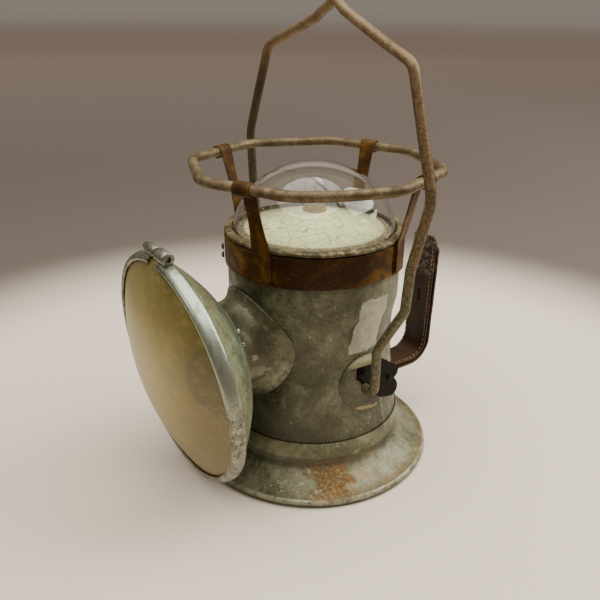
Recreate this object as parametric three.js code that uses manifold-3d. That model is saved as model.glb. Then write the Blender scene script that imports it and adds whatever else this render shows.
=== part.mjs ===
// Railway inspector's battery hand lantern: a waisted tin body with a large searchlight on the front, a glass
// signal globe inside a wire guard on the top, a hinged wire bail and a stitched leather grip at the back.
// Millimetres. The origin is the centre of the underside, +Z is up and the searchlight faces -Y.
import * as THREE from 'three';
import { mergeVertices } from 'three/addons/utils/BufferGeometryUtils.js';
import Module from 'manifold-3d';

const wasm = await Module();
wasm.setup();

// ---- driving dimensions -------------------------------------------------------------------------------------
const SHEET = 0.8; // tinplate thickness
const GAP = 0.35; // clearance between pieces that touch
const ROUND = 40; // facets around a large turned piece

const BASE_RADIUS = 74.3; // outside of the rolled rim
const RIM_RADIUS = 2.5; // radius of the rolled rim itself
const COLLAR_RADIUS = 54.6; // upright collar that takes the body
const COLLAR_TOP = 29.7;
const FLARE_TOP = 15.2; // where the skirt meets the collar
const COVER_RADIUS = 68.5;

const BODY_FOOT = 17;
const BODY_TOP = 141.3;
const WAIST_RADIUS = 47.7;
const WAIST_HEIGHT = 82;
const NECK_OF_BODY_RADIUS = 50.4; // straight upper part that carries the band

const LIGHT_HEIGHT = 87.4; // where the searchlight's axis crosses the body's axis
const LIGHT_DROOP = THREE.MathUtils.degToRad(5.8); // the searchlight looks down by this much
const NECK_RADIUS = 26.2;
const NECK_FLANGE_RADIUS = 32.6;
const SEAT_GAP = 0.5; // clearance under the neck's curved seat
const BOWL_BACK = 63.3; // distances along the searchlight's axis
const BOWL_FRONT = 88.3;
const BOWL_FLANGE_RADIUS = 65.2;
const LENS_RADIUS = 64.2;
const LENS_SPHERE = 142.6;
const LENS_THICKNESS = 3;
const LENS_SEAT = 90.6; // flat back of the lens's rim
const LIP_RADIUS = 61;
const LIP_FRONT = 95.3;
const BEZEL_RADIUS = 66.7;
const BEZEL_BACK = 88;

const BAND_BOTTOM = 124.1;
const BAND_TOP = 141.5;
const BAND_RADIUS = 51.9;
const GUARD_HEIGHT = 178.9;
const GUARD_APOTHEM = 66.2;
const GUARD_WIRE = 2.8; // radius of the guard's wire
const POST_WIDTH = 12;
const POST_THICKNESS = 0.9;
const POST_TAPER = 0.17; // share of its width that a post loses up to the wrap
const POST_WAISTS = [0, 0.22, 0.22, 0.22]; // and the further share that each loses half way up
const POST_ANGLES = [22.5, 112.5, 202.5, 292.5];
const FOOT_TURNS = [6, 0, 0, 0]; // degrees: the first post's foot sits round to one side of its wrap

const GLOBE_RADIUS = 47.3;
const GLOBE_FOOT = 142.3;
const GLOBE_CENTRE = 139;
const GLOBE_RISE = 41.5;
const GLOBE_WALL = 2;
const REFLECTOR_RADIUS = 44.6;

const PIVOT_HEIGHT = 60.5;
const BAIL_WIRE = 2.7; // radius of the bail's wire
const BAIL_LEAN = THREE.MathUtils.degToRad(3);

const GRIP_WIDTH = 20;
const GRIP_CORE = 1;
const LEATHER = 1.5;

const COLOURS = {
  tin: ['#6f6c55', 0.62, 0.6],
  nickel: ['#b9bcae', 0.32, 0.9],
  rust: ['#3b2413', 0.8, 0.35],
  wire: ['#57503c', 0.7, 0.5],
  enamel: ['#e9e8cc', 0.35, 0],
  clear: ['#dfe4dc', 0.06, 0],
  lens: ['#9a8656', 0.25, 0],
  silver: ['#cfcfc8', 0.15, 1],
  brass: ['#b29a57', 0.4, 0.9],
  steel: ['#2a261d', 0.6, 0.7],
  leather: ['#33200f', 0.75, 0],
  bakelite: ['#2b1a12', 0.5, 0],
  card: ['#39434f', 0.85, 0],
  rubber: ['#1f1d1b', 0.9, 0],
};

// ---- small tools --------------------------------------------------------------------------------------------
function material(name) {
  const [color, roughness, metalness] = COLOURS[name];
  const look = new THREE.MeshStandardMaterial({ color, roughness, metalness });
  look.name = name;
  return look;
}

function signedVolume(positions, index) {
  const corner = [new THREE.Vector3(), new THREE.Vector3(), new THREE.Vector3()];
  let volume = 0;
  for (let i = 0; i < index.length; i += 3) {
    corner.forEach((v, k) => v.fromBufferAttribute(positions, index[i + k]));
    volume += corner[0].dot(corner[1].cross(corner[2])) / 6;
  }
  return volume;
}

// One welded body with no slivers and with its faces pointing out.
function welded(geometry) {
  const bare = geometry.clone();
  bare.deleteAttribute('normal');
  bare.deleteAttribute('uv');
  const merged = mergeVertices(bare, 1e-4);
  const source = Array.from(merged.index.array);
  const kept = [];
  for (let i = 0; i < source.length; i += 3) {
    const [a, b, c] = source.slice(i, i + 3);
    if (a !== b && b !== c && c !== a) {
      kept.push(a, b, c);
    }
  }
  if (signedVolume(merged.attributes.position, kept) < 0) {
    kept.reverse();
  }
  merged.setIndex(kept);
  merged.computeVertexNormals();
  return merged;
}

function solid(geometry) {
  const closed = welded(geometry);
  const vertProperties = new Float32Array(closed.attributes.position.array);
  const triVerts = new Uint32Array(closed.index.array);
  return new wasm.Manifold(new wasm.Mesh({ numProp: 3, vertProperties, triVerts }));
}

function geometryOf(manifold) {
  const mesh = manifold.getMesh();
  const geometry = new THREE.BufferGeometry();
  geometry.setAttribute('position', new THREE.BufferAttribute(new Float32Array(mesh.vertProperties), 3));
  geometry.setIndex(Array.from(mesh.triVerts));
  geometry.computeVertexNormals();
  return geometry;
}

function cut(geometry, ...tools) {
  return geometryOf(tools.reduce((left, tool) => left.subtract(solid(tool)), solid(geometry)));
}

function joined(...geometries) {
  return geometryOf(geometries.map(solid).reduce((all, one) => all.add(one)));
}

// A turned piece about +Z from a closed outline of [radius, height] points.
function turned(outline, facets = ROUND) {
  const points = outline.map(([radius, height]) => new THREE.Vector2(radius, height));
  if (outline[0][0] > 0 || outline.at(-1)[0] > 0) {
    points.push(points[0].clone());
  }
  return welded(new THREE.LatheGeometry(points, facets).rotateX(Math.PI / 2));
}

// A turned skin: the outer line as given and an inner line one sheet inside it.
function turnedSheet(outer, sheet = SHEET, facets = ROUND) {
  const inner = outer.map(([radius, height]) => [radius - sheet, height]).reverse();
  return turned([...outer, ...inner], facets);
}

function rod(radius, from, to, facets = 16) {
  const length = from.distanceTo(to);
  const shape = new THREE.CylinderGeometry(radius, radius, length, facets).rotateX(Math.PI / 2);
  const turn = new THREE.Quaternion().setFromUnitVectors(
    new THREE.Vector3(0, 0, 1),
    to.clone().sub(from).normalize(),
  );
  const middle = from.clone().add(to).multiplyScalar(0.5);
  return shape.applyQuaternion(turn).translate(middle.x, middle.y, middle.z);
}

// A path of straight runs with its corners rounded by the radius that each corner point carries.
function roundedPath(corners) {
  const path = new THREE.CurvePath();
  let start = corners[0].point;
  for (let i = 1; i < corners.length - 1; i += 1) {
    const { point, radius } = corners[i];
    const before = corners[i - 1].point.clone().sub(point).normalize();
    const after = corners[i + 1].point.clone().sub(point).normalize();
    const trim = radius / Math.tan(before.angleTo(after) / 2);
    const enter = point.clone().addScaledVector(before, trim);
    const leave = point.clone().addScaledVector(after, trim);
    path.add(new THREE.LineCurve3(start, enter));
    path.add(new THREE.QuadraticBezierCurve3(enter, point, leave));
    start = leave;
  }
  path.add(new THREE.LineCurve3(start, corners.at(-1).point));
  return path;
}

function wireAlong(path, radius, steps, sides = 4) {
  const section = new THREE.Shape();
  section.absarc(0, 0, radius, 0, 2 * Math.PI);
  const wire = new THREE.ExtrudeGeometry(section, { steps, curveSegments: sides, extrudePath: path });
  return welded(wire);
}

// A flat drawing in [reach, height], stood upright and given its thickness along X.
function slab(shape, from, to) {
  const flat = new THREE.ExtrudeGeometry(shape, { depth: to - from, bevelEnabled: false, curveSegments: 6 });
  const upright = new THREE.Matrix4().makeBasis(
    new THREE.Vector3(0, 1, 0),
    new THREE.Vector3(0, 0, 1),
    new THREE.Vector3(1, 0, 0),
  );
  return welded(flat.translate(0, 0, from).applyMatrix4(upright));
}

function drawing(points) {
  return new THREE.Shape(points.map(([across, up]) => new THREE.Vector2(across, up)));
}

// A flat strip bent along a 2-D line: the line's points are [reach, height], the strip runs across in X.
function bentStrip(line, width, thickness) {
  const half = thickness / 2;
  const sides = [[], []];
  line.forEach(([reach, height], i) => {
    const before = line[Math.max(i - 1, 0)];
    const after = line[Math.min(i + 1, line.length - 1)];
    const along = new THREE.Vector2(after[0] - before[0], after[1] - before[1]).normalize();
    sides[0].push(new THREE.Vector2(reach + along.y * half, height - along.x * half));
    sides[1].push(new THREE.Vector2(reach - along.y * half, height + along.x * half));
  });
  return slab(new THREE.Shape([...sides[0], ...sides[1].reverse()]), -width / 2, width / 2);
}

function arcPoints(centre, radius, fromDegrees, toDegrees, steps) {
  return Array.from({ length: steps + 1 }, (_, i) => {
    const angle = THREE.MathUtils.degToRad(fromDegrees + ((toDegrees - fromDegrees) * i) / steps);
    return [centre[0] + radius * Math.cos(angle), centre[1] + radius * Math.sin(angle)];
  });
}

function box(low, high) {
  const size = high.map((value, i) => value - low[i]);
  const centre = high.map((value, i) => (value + low[i]) / 2);
  return new THREE.BoxGeometry(...size).translate(...centre);
}

const lantern = new THREE.Group();
const searchlight = new THREE.Group(); // its own +Z runs along the beam, its +Y is up
searchlight.position.z = LIGHT_HEIGHT;
searchlight.rotation.x = Math.PI / 2 + LIGHT_DROOP;
searchlight.updateMatrix();
lantern.add(searchlight);

function add(name, geometry, look, group = lantern) {
  const mesh = new THREE.Mesh(geometry, material(look));
  mesh.name = name;
  group.add(mesh);
}

// ---- base ---------------------------------------------------------------------------------------------------
function baseSkirt() {
  const rimCentre = [BASE_RADIUS - RIM_RADIUS, RIM_RADIUS + 0.1];
  const rim = arcPoints(rimCentre, RIM_RADIUS, 200, 460, 9);
  return turned([
    ...rim,
    [66.2, 7.2],
    [60.4, 10.4],
    [57.2, 13],
    [COLLAR_RADIUS + 0.6, FLARE_TOP],
    [COLLAR_RADIUS, FLARE_TOP + 1],
    [COLLAR_RADIUS, COLLAR_TOP],
    [COLLAR_RADIUS - SHEET, COLLAR_TOP],
    [COLLAR_RADIUS - SHEET, FLARE_TOP + 0.6],
    [56.2, 12.8],
    [59.8, 9.5],
    [65.8, 6.2],
  ]);
}

function bottomCover() {
  return turned([
    [0, 0],
    [COVER_RADIUS, 0],
    [COVER_RADIUS, 2.2],
    [COVER_RADIUS - SHEET, 2.2],
    [COVER_RADIUS - SHEET, SHEET],
    [0, SHEET],
  ]);
}

add('base_skirt', baseSkirt(), 'tin');
add('bottom_cover', bottomCover(), 'tin');
add('battery_pad', turned([[0, 1.2], [44, 1.2], [44, 4.2], [0, 4.2]], 32), 'rubber');

// ---- body ---------------------------------------------------------------------------------------------------
const BODY_OUTLINE = [
  [53.4, BODY_FOOT],
  [53.4, 30.6],
  [52.2, 37],
  [50.8, 46],
  [49.5, 57],
  [48.4, 68],
  [WAIST_RADIUS, WAIST_HEIGHT],
  [48, 92],
  [49, 98.6],
  [50.2, 104.5],
  [NECK_OF_BODY_RADIUS, 110],
  [NECK_OF_BODY_RADIUS, BODY_TOP],
];

// The body's outside as a full solid, grown by a clearance, for fitting pieces to its curved wall.
function bodyCore(grow) {
  const outer = BODY_OUTLINE.map(([radius, height]) => [radius + grow, height]);
  return turned([[0, BODY_FOOT], ...outer, [0, BODY_TOP]]);
}

function inBody(geometry) {
  return geometry.clone().applyMatrix4(searchlight.matrix);
}

function beamCylinder(radius, from, to, facets = 40) {
  return rod(radius, new THREE.Vector3(0, 0, from), new THREE.Vector3(0, 0, to), facets);
}

const NECK_BORE = NECK_RADIUS - SHEET;
add('body_shell', cut(turnedSheet(BODY_OUTLINE), inBody(beamCylinder(NECK_BORE, 20, 70))), 'tin');

// ---- searchlight neck and bowl ------------------------------------------------------------------------------
function bodyRadius(height) {
  const above = BODY_OUTLINE.findIndex((point, i) => i > 1 && point[1] >= height);
  const [[lowRadius, low], [highRadius, high]] = BODY_OUTLINE.slice(above - 1, above + 1);
  return THREE.MathUtils.mapLinear(height, low, high, lowRadius, highRadius);
}

// How far along the beam a line at [x, y] off the beam's axis leaves the body's wall.
function wallDepth(x, y) {
  let depth = WAIST_RADIUS;
  for (let i = 0; i < 5; i += 1) {
    const height = LIGHT_HEIGHT + y * Math.cos(LIGHT_DROOP) - depth * Math.sin(LIGHT_DROOP);
    const reach = Math.sqrt((bodyRadius(height) + SEAT_GAP) ** 2 - x ** 2);
    depth = (reach - y * Math.sin(LIGHT_DROOP)) / Math.cos(LIGHT_DROOP);
  }
  return depth;
}

// Rings that follow the body's wall are [radius, lift off it]; the rest of the tube's are [radius, depth].
function neck() {
  const seat = [[NECK_BORE, 0], [29, 0], [NECK_FLANGE_RADIUS, 0]];
  const flare = [[NECK_FLANGE_RADIUS - 0.2, 0.8], [30.5, 1.3], [28.6, 2.4], [27.2, 4.2], [26.4, 6.6]];
  const tube = [[NECK_RADIUS, 60], [29, 62.2], [29, 62.95], [NECK_BORE, 62.95]];
  const positions = [];
  const ring = (radius, depthAt) => {
    for (let i = 0; i < ROUND; i += 1) {
      const angle = (2 * Math.PI * i) / ROUND;
      const x = radius * Math.cos(angle);
      const y = radius * Math.sin(angle);
      positions.push(x, y, depthAt(x, y));
    }
  };
  [...seat, ...flare].forEach(([radius, lift]) => ring(radius, (x, y) => wallDepth(x, y) + lift));
  tube.forEach(([radius, depth]) => ring(radius, () => depth));
  const rings = seat.length + flare.length + tube.length;
  const index = [];
  for (let k = 0; k < rings; k += 1) {
    for (let i = 0; i < ROUND; i += 1) {
      const [here, next] = [k * ROUND, ((k + 1) % rings) * ROUND];
      const beside = (i + 1) % ROUND;
      index.push(here + i, here + beside, next + i, next + i, here + beside, next + beside);
    }
  }
  const geometry = new THREE.BufferGeometry();
  geometry.setAttribute('position', new THREE.BufferAttribute(new Float32Array(positions), 3));
  geometry.setIndex(index);
  return welded(geometry);
}

function bowl() {
  return turned([
    [NECK_BORE, BOWL_BACK],
    [29.6, BOWL_BACK],
    [36, 66.2],
    [44, 70.6],
    [51, 75.6],
    [57, 80.6],
    [61.4, 85.2],
    [63.2, BOWL_FRONT],
    [BOWL_FLANGE_RADIUS, BOWL_FRONT],
    [BOWL_FLANGE_RADIUS, BOWL_FRONT + SHEET],
    [62.2, BOWL_FRONT + SHEET],
    [60.4, 85.6],
    [56.2, 81.3],
    [50.2, 76.3],
    [43.4, 71.4],
    [35.6, 67],
    [29.4, BOWL_BACK + SHEET],
    [NECK_BORE, BOWL_BACK + SHEET],
  ]);
}

const MIRROR_VERTEX = 59;
const MIRROR_FOCUS = 28.5;
const mirrorDepth = (radius) => MIRROR_VERTEX + radius ** 2 / (4 * MIRROR_FOCUS);

function mirror() {
  const rings = [7.6, 18, 28, 37, 45, 52, 58.5];
  const front = rings.map((radius) => [radius, mirrorDepth(radius) + SHEET]);
  const back = rings.map((radius) => [radius, mirrorDepth(radius)]).reverse();
  const edge = [[60.8, front.at(-1)[1]], [60.8, back[0][1]]];
  return turned([...front, ...edge, ...back], 32);
}

function lampPlate() {
  return turned([
    [0, 47],
    [6.4, 47],
    [6.4, 57],
    [NECK_BORE - 0.6, 57],
    [NECK_BORE - 0.6, 57.8],
    [6.4, 57.8],
    [6.4, 66],
    [5.4, 66],
    [5.4, 48],
    [0, 48],
  ], 28);
}

add('neck_tube', neck(), 'tin', searchlight);
add('searchlight_bowl', bowl(), 'tin', searchlight);
add('searchlight_mirror', mirror(), 'silver', searchlight);
add('searchlight_socket', lampPlate(), 'brass', searchlight);
add('searchlight_bulb_cap', turned([[0, 49], [5, 49], [5, 66.4], [0, 66.4]], 20), 'brass', searchlight);
add(
  'searchlight_bulb_glass',
  turned([[0, 66.8], [4.6, 66.8], [5.2, 70], [7.6, 76], [8.2, 81], [7, 86], [4.2, 89.4], [0, 90.5]], 20),
  'clear',
  searchlight,
);

// ---- bezel, lens and clamp ----------------------------------------------------------------------------------
function lensFront(radius) {
  const atLip = Math.sqrt(LENS_SPHERE ** 2 - LIP_RADIUS ** 2);
  return LIP_FRONT - 0.9 + Math.sqrt(LENS_SPHERE ** 2 - radius ** 2) - atLip;
}

function lens() {
  const rings = [0, 14, 27, 39, 50, 58, LENS_RADIUS];
  const front = rings.map((radius) => [radius, lensFront(radius)]);
  const back = rings.slice(0, -1).map((radius) => [radius, lensFront(radius) - LENS_THICKNESS]).reverse();
  return turned([...front, [LENS_RADIUS, LENS_SEAT], [LIP_RADIUS, LENS_SEAT], ...back]);
}

const CLAMP_REACH = 68.6; // the clamp screw's height above the beam's axis
const CLAMP_DEPTH = 91;
const SMALL_BARREL = [-5.6, 0.6];
const LARGE_BARREL = [2.6, 13.6];

function alongClamp(radius, span, facets = 16) {
  const [from, to] = span.map((x) => new THREE.Vector3(x, CLAMP_REACH, CLAMP_DEPTH));
  return rod(radius, from, to, facets);
}

function bezel() {
  const ring = turned([
    [BEZEL_RADIUS - 0.2, BEZEL_BACK],
    [BEZEL_RADIUS, 90],
    [66.3, 92.2],
    [65.2, 94.4],
    [63.6, 95.8],
    [62, 96.2],
    [LIP_RADIUS, LIP_FRONT],
    [61.6, 94.8],
    [63.2, 94.6],
    [64.6, 93.4],
    [65.5, 91.6],
    [65.8, 90],
    [65.6, BEZEL_BACK],
  ]);
  const split = box([SMALL_BARREL[0] - 0.6, 50, 80], [LARGE_BARREL[0] + 5.4, 80, 110]);
  const flangeRoom = BOWL_FLANGE_RADIUS + 0.3;
  const inside = turned([[0, 80], [flangeRoom, 80], [flangeRoom, 90.4], [64.5, 93], [0, 93]]);
  return geometryOf(
    solid(ring)
      .subtract(solid(split))
      .add(solid(alongClamp(2.9, [SMALL_BARREL[0] - 4.2, SMALL_BARREL[1]])))
      .add(solid(alongClamp(3.5, LARGE_BARREL)))
      .subtract(solid(alongClamp(1.6, [-20, 20], 12)))
      .subtract(solid(inside)),
  );
}

function clampScrew() {
  const shank = alongClamp(1.25, [SMALL_BARREL[0] - 5.4, LARGE_BARREL[1] - 1.5], 12);
  const head = alongClamp(2.3, [SMALL_BARREL[0] - 6.9, SMALL_BARREL[0] - 4.6], 16);
  return joined(shank, head);
}

add('bezel_ring', bezel(), 'nickel', searchlight);
add('bezel_clamp_screw', clampScrew(), 'nickel', searchlight);
add('lens_glass', lens(), 'lens', searchlight);
add('lens_gasket', turned([[61.6, 89.4], [64, 89.4], [64, 90.3], [61.6, 90.3]]), 'rubber', searchlight);

// ---- signal globe on the top --------------------------------------------------------------------------------
function globeRing() {
  const bead = arcPoints([50.6, 143.2], 1.2, -80, 90, 5);
  return turned([
    [38.5, 140.8],
    [48.3, 140.8],
    [48.3, 133.5],
    [49.2, 133.5],
    [49.2, 141.7],
    ...bead,
    [48.4, 144.9],
    [47.7, 144.5],
    [47.7, 141.9],
    [38.5, 141.9],
  ]);
}

function globe() {
  const shell = (radius, rise, steps) =>
    Array.from({ length: steps + 1 }, (_, i) => {
      const start = Math.asin((GLOBE_FOOT - GLOBE_CENTRE) / rise);
      const angle = start + ((Math.PI / 2 - start) * i) / steps;
      return [Math.max(radius * Math.cos(angle), 0), GLOBE_CENTRE + rise * Math.sin(angle)];
    });
  const outer = shell(GLOBE_RADIUS, GLOBE_RISE, 8);
  const inner = shell(GLOBE_RADIUS - GLOBE_WALL, GLOBE_RISE - GLOBE_WALL, 8);
  outer.at(-1)[0] = 0;
  inner.at(-1)[0] = 0;
  return turned([...inner.reverse(), ...outer]);
}

function enamelReflector() {
  const top = [[5.3, 153], [12, 151.9], [20, 149.8], [28, 147.3], [35, 145.1], [40.4, 143.6]];
  const edge = [[REFLECTOR_RADIUS, 143], [REFLECTOR_RADIUS, 142.3], [40.4, 142.4]];
  const under = [[35, 143.7], [28, 145.9], [20, 148.4], [12, 150.5], [5.3, 151.6]];
  return turned([...top, ...edge, ...under], 40);
}

function signalSocket() {
  return turned([
    [0, 140],
    [5, 140],
    [5, 153.3],
    [7, 153.3],
    [7, 154.2],
    [5.8, 154.4],
    [5.8, 157],
    [4.7, 157],
    [4.7, 141],
    [0, 141],
  ], 24);
}

add('globe_ring', globeRing(), 'tin');
add('globe_glass', globe(), 'clear');
add('enamel_reflector', enamelReflector(), 'enamel');
add('signal_socket', signalSocket(), 'brass');
add('signal_bulb_cap', turned([[0, 143], [4.3, 143], [4.3, 156.8], [0, 156.8]], 20), 'brass');
add(
  'signal_bulb_glass',
  turned([[0, 157.2], [3.8, 157.2], [4.6, 160], [6, 163.4], [6.3, 166.6], [5.2, 170], [3, 172], [0, 172.7]], 20),
  'clear',
);

// ---- wire guard ---------------------------------------------------------------------------------------------
function polar(radius, degrees, height) {
  const angle = THREE.MathUtils.degToRad(degrees);
  return new THREE.Vector3(radius * Math.cos(angle), radius * Math.sin(angle), height);
}

const BAND_SPLIT = 20.7; // degrees: the band's ends meet beside the first post
const SPLIT_WIDTH = 1.7;
const LAP_ANGLE = 241.6;

function band() {
  const hoop = turned([
    [BAND_RADIUS - 1.1, BAND_BOTTOM],
    [BAND_RADIUS, BAND_BOTTOM],
    [BAND_RADIUS, BAND_TOP],
    [BAND_RADIUS - 1.1, BAND_TOP],
  ]);
  const angle = THREE.MathUtils.degToRad(BAND_SPLIT);
  const half = SPLIT_WIDTH / 2;
  const slit = box([45, -half, BAND_BOTTOM - 2], [60, half, BAND_TOP + 2]).rotateZ(angle);
  return cut(hoop, slit);
}

// A flat post: up against the band, leaning out to the guard's wire and wrapped around it. It narrows half way
// up, and footTurn degrees of twist bring its foot round the band from under the wrap.
function post(footTurn, waist) {
  const reach = BAND_RADIUS + GAP + POST_THICKNESS / 2;
  const wrap = GUARD_WIRE + GAP + POST_THICKNESS / 2;
  const foot = [reach, BAND_TOP + 2];
  const centre = [GUARD_APOTHEM, GUARD_HEIGHT];
  const toWire = [centre[0] - foot[0], centre[1] - foot[1]];
  const lean = Math.atan2(toWire[1], toWire[0]) + Math.asin(wrap / Math.hypot(...toWire));
  const start = THREE.MathUtils.radToDeg(lean) + 90;
  const curl = arcPoints(centre, wrap, start, start - 262, 12);
  const rise = [0.25, 0.5, 0.75].map((share) => foot.map((value, k) => value + (curl[0][k] - value) * share));
  const line = [[reach, BAND_BOTTOM + 0.4], [reach, BAND_TOP], foot, ...rise, ...curl];
  const strip = bentStrip(line, POST_WIDTH, POST_THICKNESS);
  const points = strip.attributes.position;
  const spot = new THREE.Vector3();
  for (let i = 0; i < points.count; i += 1) {
    spot.fromBufferAttribute(points, i);
    const share = THREE.MathUtils.clamp((spot.z - foot[1]) / (curl[0][1] - foot[1]), 0, 1);
    spot.x *= 1 - POST_TAPER * share - waist * Math.sin(Math.PI * share);
    spot.applyAxisAngle(new THREE.Vector3(0, 0, 1), THREE.MathUtils.degToRad(footTurn * (1 - share)));
    points.setXYZ(i, ...spot);
  }
  return strip;
}

// Eight straight sides with bent corners. The wire's ends meet with a fine gap inside one post's wrap.
function guardWire() {
  const corner = GUARD_APOTHEM / Math.cos(Math.PI / 8);
  const side = (offset) => polar(GUARD_APOTHEM, POST_ANGLES[0], GUARD_HEIGHT)
    .addScaledVector(polar(1, POST_ANGLES[0] + 90, 0), offset);
  const bends = Array.from({ length: 8 }, (_, i) => polar(corner, 45 * (i + 1), GUARD_HEIGHT));
  const corners = bends.map((point) => ({ point, radius: 22 }));
  return wireAlong(roundedPath([{ point: side(0.2) }, ...corners, { point: side(-0.2) }]), GUARD_WIRE, 96);
}

function rivetHead(radius, height, facets = 14) {
  const dome = [[radius, 0], [radius * 0.86, height * 0.6], [radius * 0.45, height]];
  return turned([[0, 0], ...dome, [0, height]], facets);
}

function onBody(geometry, reach, degrees, height) {
  return geometry
    .rotateY(Math.PI / 2)
    .translate(reach, 0, height)
    .rotateZ(THREE.MathUtils.degToRad(degrees));
}

add('guard_band', band(), 'rust');
POST_ANGLES.forEach((degrees, i) => {
  const turn = THREE.MathUtils.degToRad(degrees - 90);
  add(`guard_post_${i + 1}`, post(FOOT_TURNS[i], POST_WAISTS[i]).rotateZ(turn), 'rust');
});
add('guard_ring', guardWire(), 'wire');
[127.5, 132.5].forEach((height, i) => {
  add(`band_rivet_${i + 1}`, onBody(rivetHead(2, 1.5), BAND_RADIUS + GAP, LAP_ANGLE, height), 'rust');
});

// ---- bail and its ears --------------------------------------------------------------------------------------
// Each leg's corners as [across, up from the pivot, bend radius], from the hook in the ear to the peak.
const RIGHT_LEG = [
  [50.4, 0, 0],
  [59.6, 0, 4.6],
  [58.2, 25.5, 9],
  [75.8, 56.5, 9],
  [75.9, 79.5, 14],
  [84.8, 116.5, 22],
  [62.2, 175.3, 11],
  [9, 197.4, 6],
];
const LEFT_LEG = [
  [-50.4, 0, 0],
  [-59.6, 0, 4.6],
  [-58.2, 25.5, 9],
  [-72.6, 56.5, 9],
  [-72.6, 81.5, 14],
  [-81, 123.5, 22],
  [-61.6, 177.8, 11],
  [-15, 193.8, 8],
];
const PEAK = [0.6, 202.8, 4];

function bail() {
  const corner = ([across, up, radius]) => ({
    point: new THREE.Vector3(across, up * Math.sin(BAIL_LEAN), PIVOT_HEIGHT + up * Math.cos(BAIL_LEAN)),
    radius,
  });
  return wireAlong(roundedPath([...RIGHT_LEG, PEAK, ...LEFT_LEG.toReversed()].map(corner)), BAIL_WIRE, 110);
}

const EAR_CENTRE = [52.8, 0.85, 61.8];
const EAR_TURN = THREE.MathUtils.degToRad(14); // the cup's front edge lies on the body, its back stands off
const PLATE = [50.2, 51.2]; // the plate's two faces, across
const PLATE_RIVETS = [[-1.1, 10.3], [18.3, 0.9]];

// Pressed round cup on the body's wall, torn open towards the back where the plate comes out.
function ear() {
  const cup = turned([
    [0, 0],
    [14.2, 0],
    [16, -0.7],
    [17.2, -2.1],
    [17.8, -4.2],
    [17.8, -15],
    [17, -15],
    [17, -4.2],
    [16.5, -2.6],
    [15.5, -1.4],
    [14, -0.8],
    [0, -0.8],
  ], 32)
    .rotateY(Math.PI / 2)
    .rotateZ(-EAR_TURN)
    .translate(...EAR_CENTRE);
  const pivot = [40, 60].map((across) => new THREE.Vector3(across, 0, PIVOT_HEIGHT));
  const hole = rod(BAIL_WIRE + 0.4, ...pivot);
  const tear = drawing([
    [-11, 73.2],
    [-5.8, 74.7],
    [1, 75.7],
    [6.7, 76.5],
    [7.6, 84],
    [30, 84],
    [30, 45.7],
    [11.9, 45.7],
    [6.1, 49],
    [4.7, 55.8],
    [-2.1, 59.9],
    [-3.5, 65.2],
    [-9.1, 70.7],
  ]);
  const mouth = box([40, 6.5, 46.5], [64, 30, 84]);
  return cut(cup, hole, slab(tear, 50.4, 64), mouth, bodyCore(GAP));
}

// Flat steel plate inside the cup, notched for the bail's end, with two rounded lobes that stand out behind it.
function earPlate() {
  const outline = new THREE.Shape();
  outline.moveTo(-4.6, 7.2);
  outline.lineTo(-4.6, 12.6);
  outline.lineTo(-1.2, 13.8);
  outline.quadraticCurveTo(0.4, 16, 4, 16);
  outline.lineTo(11, 16);
  outline.lineTo(21, 9.2);
  outline.quadraticCurveTo(26, 5.8, 25.7, 3.3);
  outline.quadraticCurveTo(25.4, 0.4, 22.8, -1.1);
  outline.quadraticCurveTo(26.6, -4.8, 25.7, -9.1);
  outline.quadraticCurveTo(24.4, -12.6, 21.4, -12.9);
  outline.lineTo(13.1, -11.3);
  outline.lineTo(9, -8.4);
  outline.lineTo(5.4, -4);
  outline.absarc(0, 0, BAIL_WIRE + 0.6, -0.45, 2.1, false);
  outline.lineTo(-2.6, 6.2);
  return slab(outline, ...PLATE).translate(0, 0, PIVOT_HEIGHT);
}

function earRivet([across, up]) {
  return rivetHead(1.9, 1.1, 10).rotateY(Math.PI / 2).translate(PLATE[1] + GAP, across, PIVOT_HEIGHT + up);
}

function mirrored(geometry) {
  return welded(geometry.clone().scale(-1, 1, 1));
}

[['right', (g) => g], ['left', mirrored]].forEach(([side, place]) => {
  add(`bail_ear_${side}`, place(ear()), 'tin');
  add(`ear_plate_${side}`, place(earPlate()), 'steel');
  PLATE_RIVETS.forEach((spot, i) => add(`ear_rivet_${side}_${i + 1}`, place(earRivet(spot)), 'steel'));
});
add('bail', bail(), 'wire');

// ---- leather grip at the back -------------------------------------------------------------------------------
const GRIP_FOOT = [52.2, 47.5];
const GRIP_HEEL = [53.8, 34.6];
const GRIP_TOE_REACH = 92.2;
const GRIP_BEND = 14;
const GRIP_TOP = [94.2, 121.5];
const GRIP_SLIT = [[-0.9, 1.3], [73, 82]]; // across and up

// The grip's middle line from the heel round the lower bend and up, moved outwards by an offset.
function gripLine(offset, top) {
  const bendRadius = GRIP_BEND + offset;
  const centre = [GRIP_TOE_REACH - GRIP_BEND, GRIP_HEEL[1] + GRIP_BEND - 0.6];
  const bend = arcPoints(centre, bendRadius, -90, -1, 8);
  return [...bend, [GRIP_TOP[0] + offset, top]];
}

function slitTool() {
  const [across, up] = GRIP_SLIT;
  return box([across[0], 80, up[0]], [across[1], 110, up[1]]);
}

function gripLeather(offset, start, top) {
  const line = [[start, GRIP_HEEL[1] - 0.6 - offset], ...gripLine(offset, top)];
  return cut(bentStrip(line, GRIP_WIDTH, LEATHER), slitTool());
}

function gripCore() {
  const line = [GRIP_FOOT, [GRIP_HEEL[0] - 0.2, GRIP_HEEL[1] + 2], [GRIP_HEEL[0] + 2, GRIP_HEEL[1] - 0.6]];
  return cut(bentStrip([...line, ...gripLine(0, GRIP_TOP[1] - 2)], GRIP_WIDTH - 5, GRIP_CORE), slitTool());
}

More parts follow.
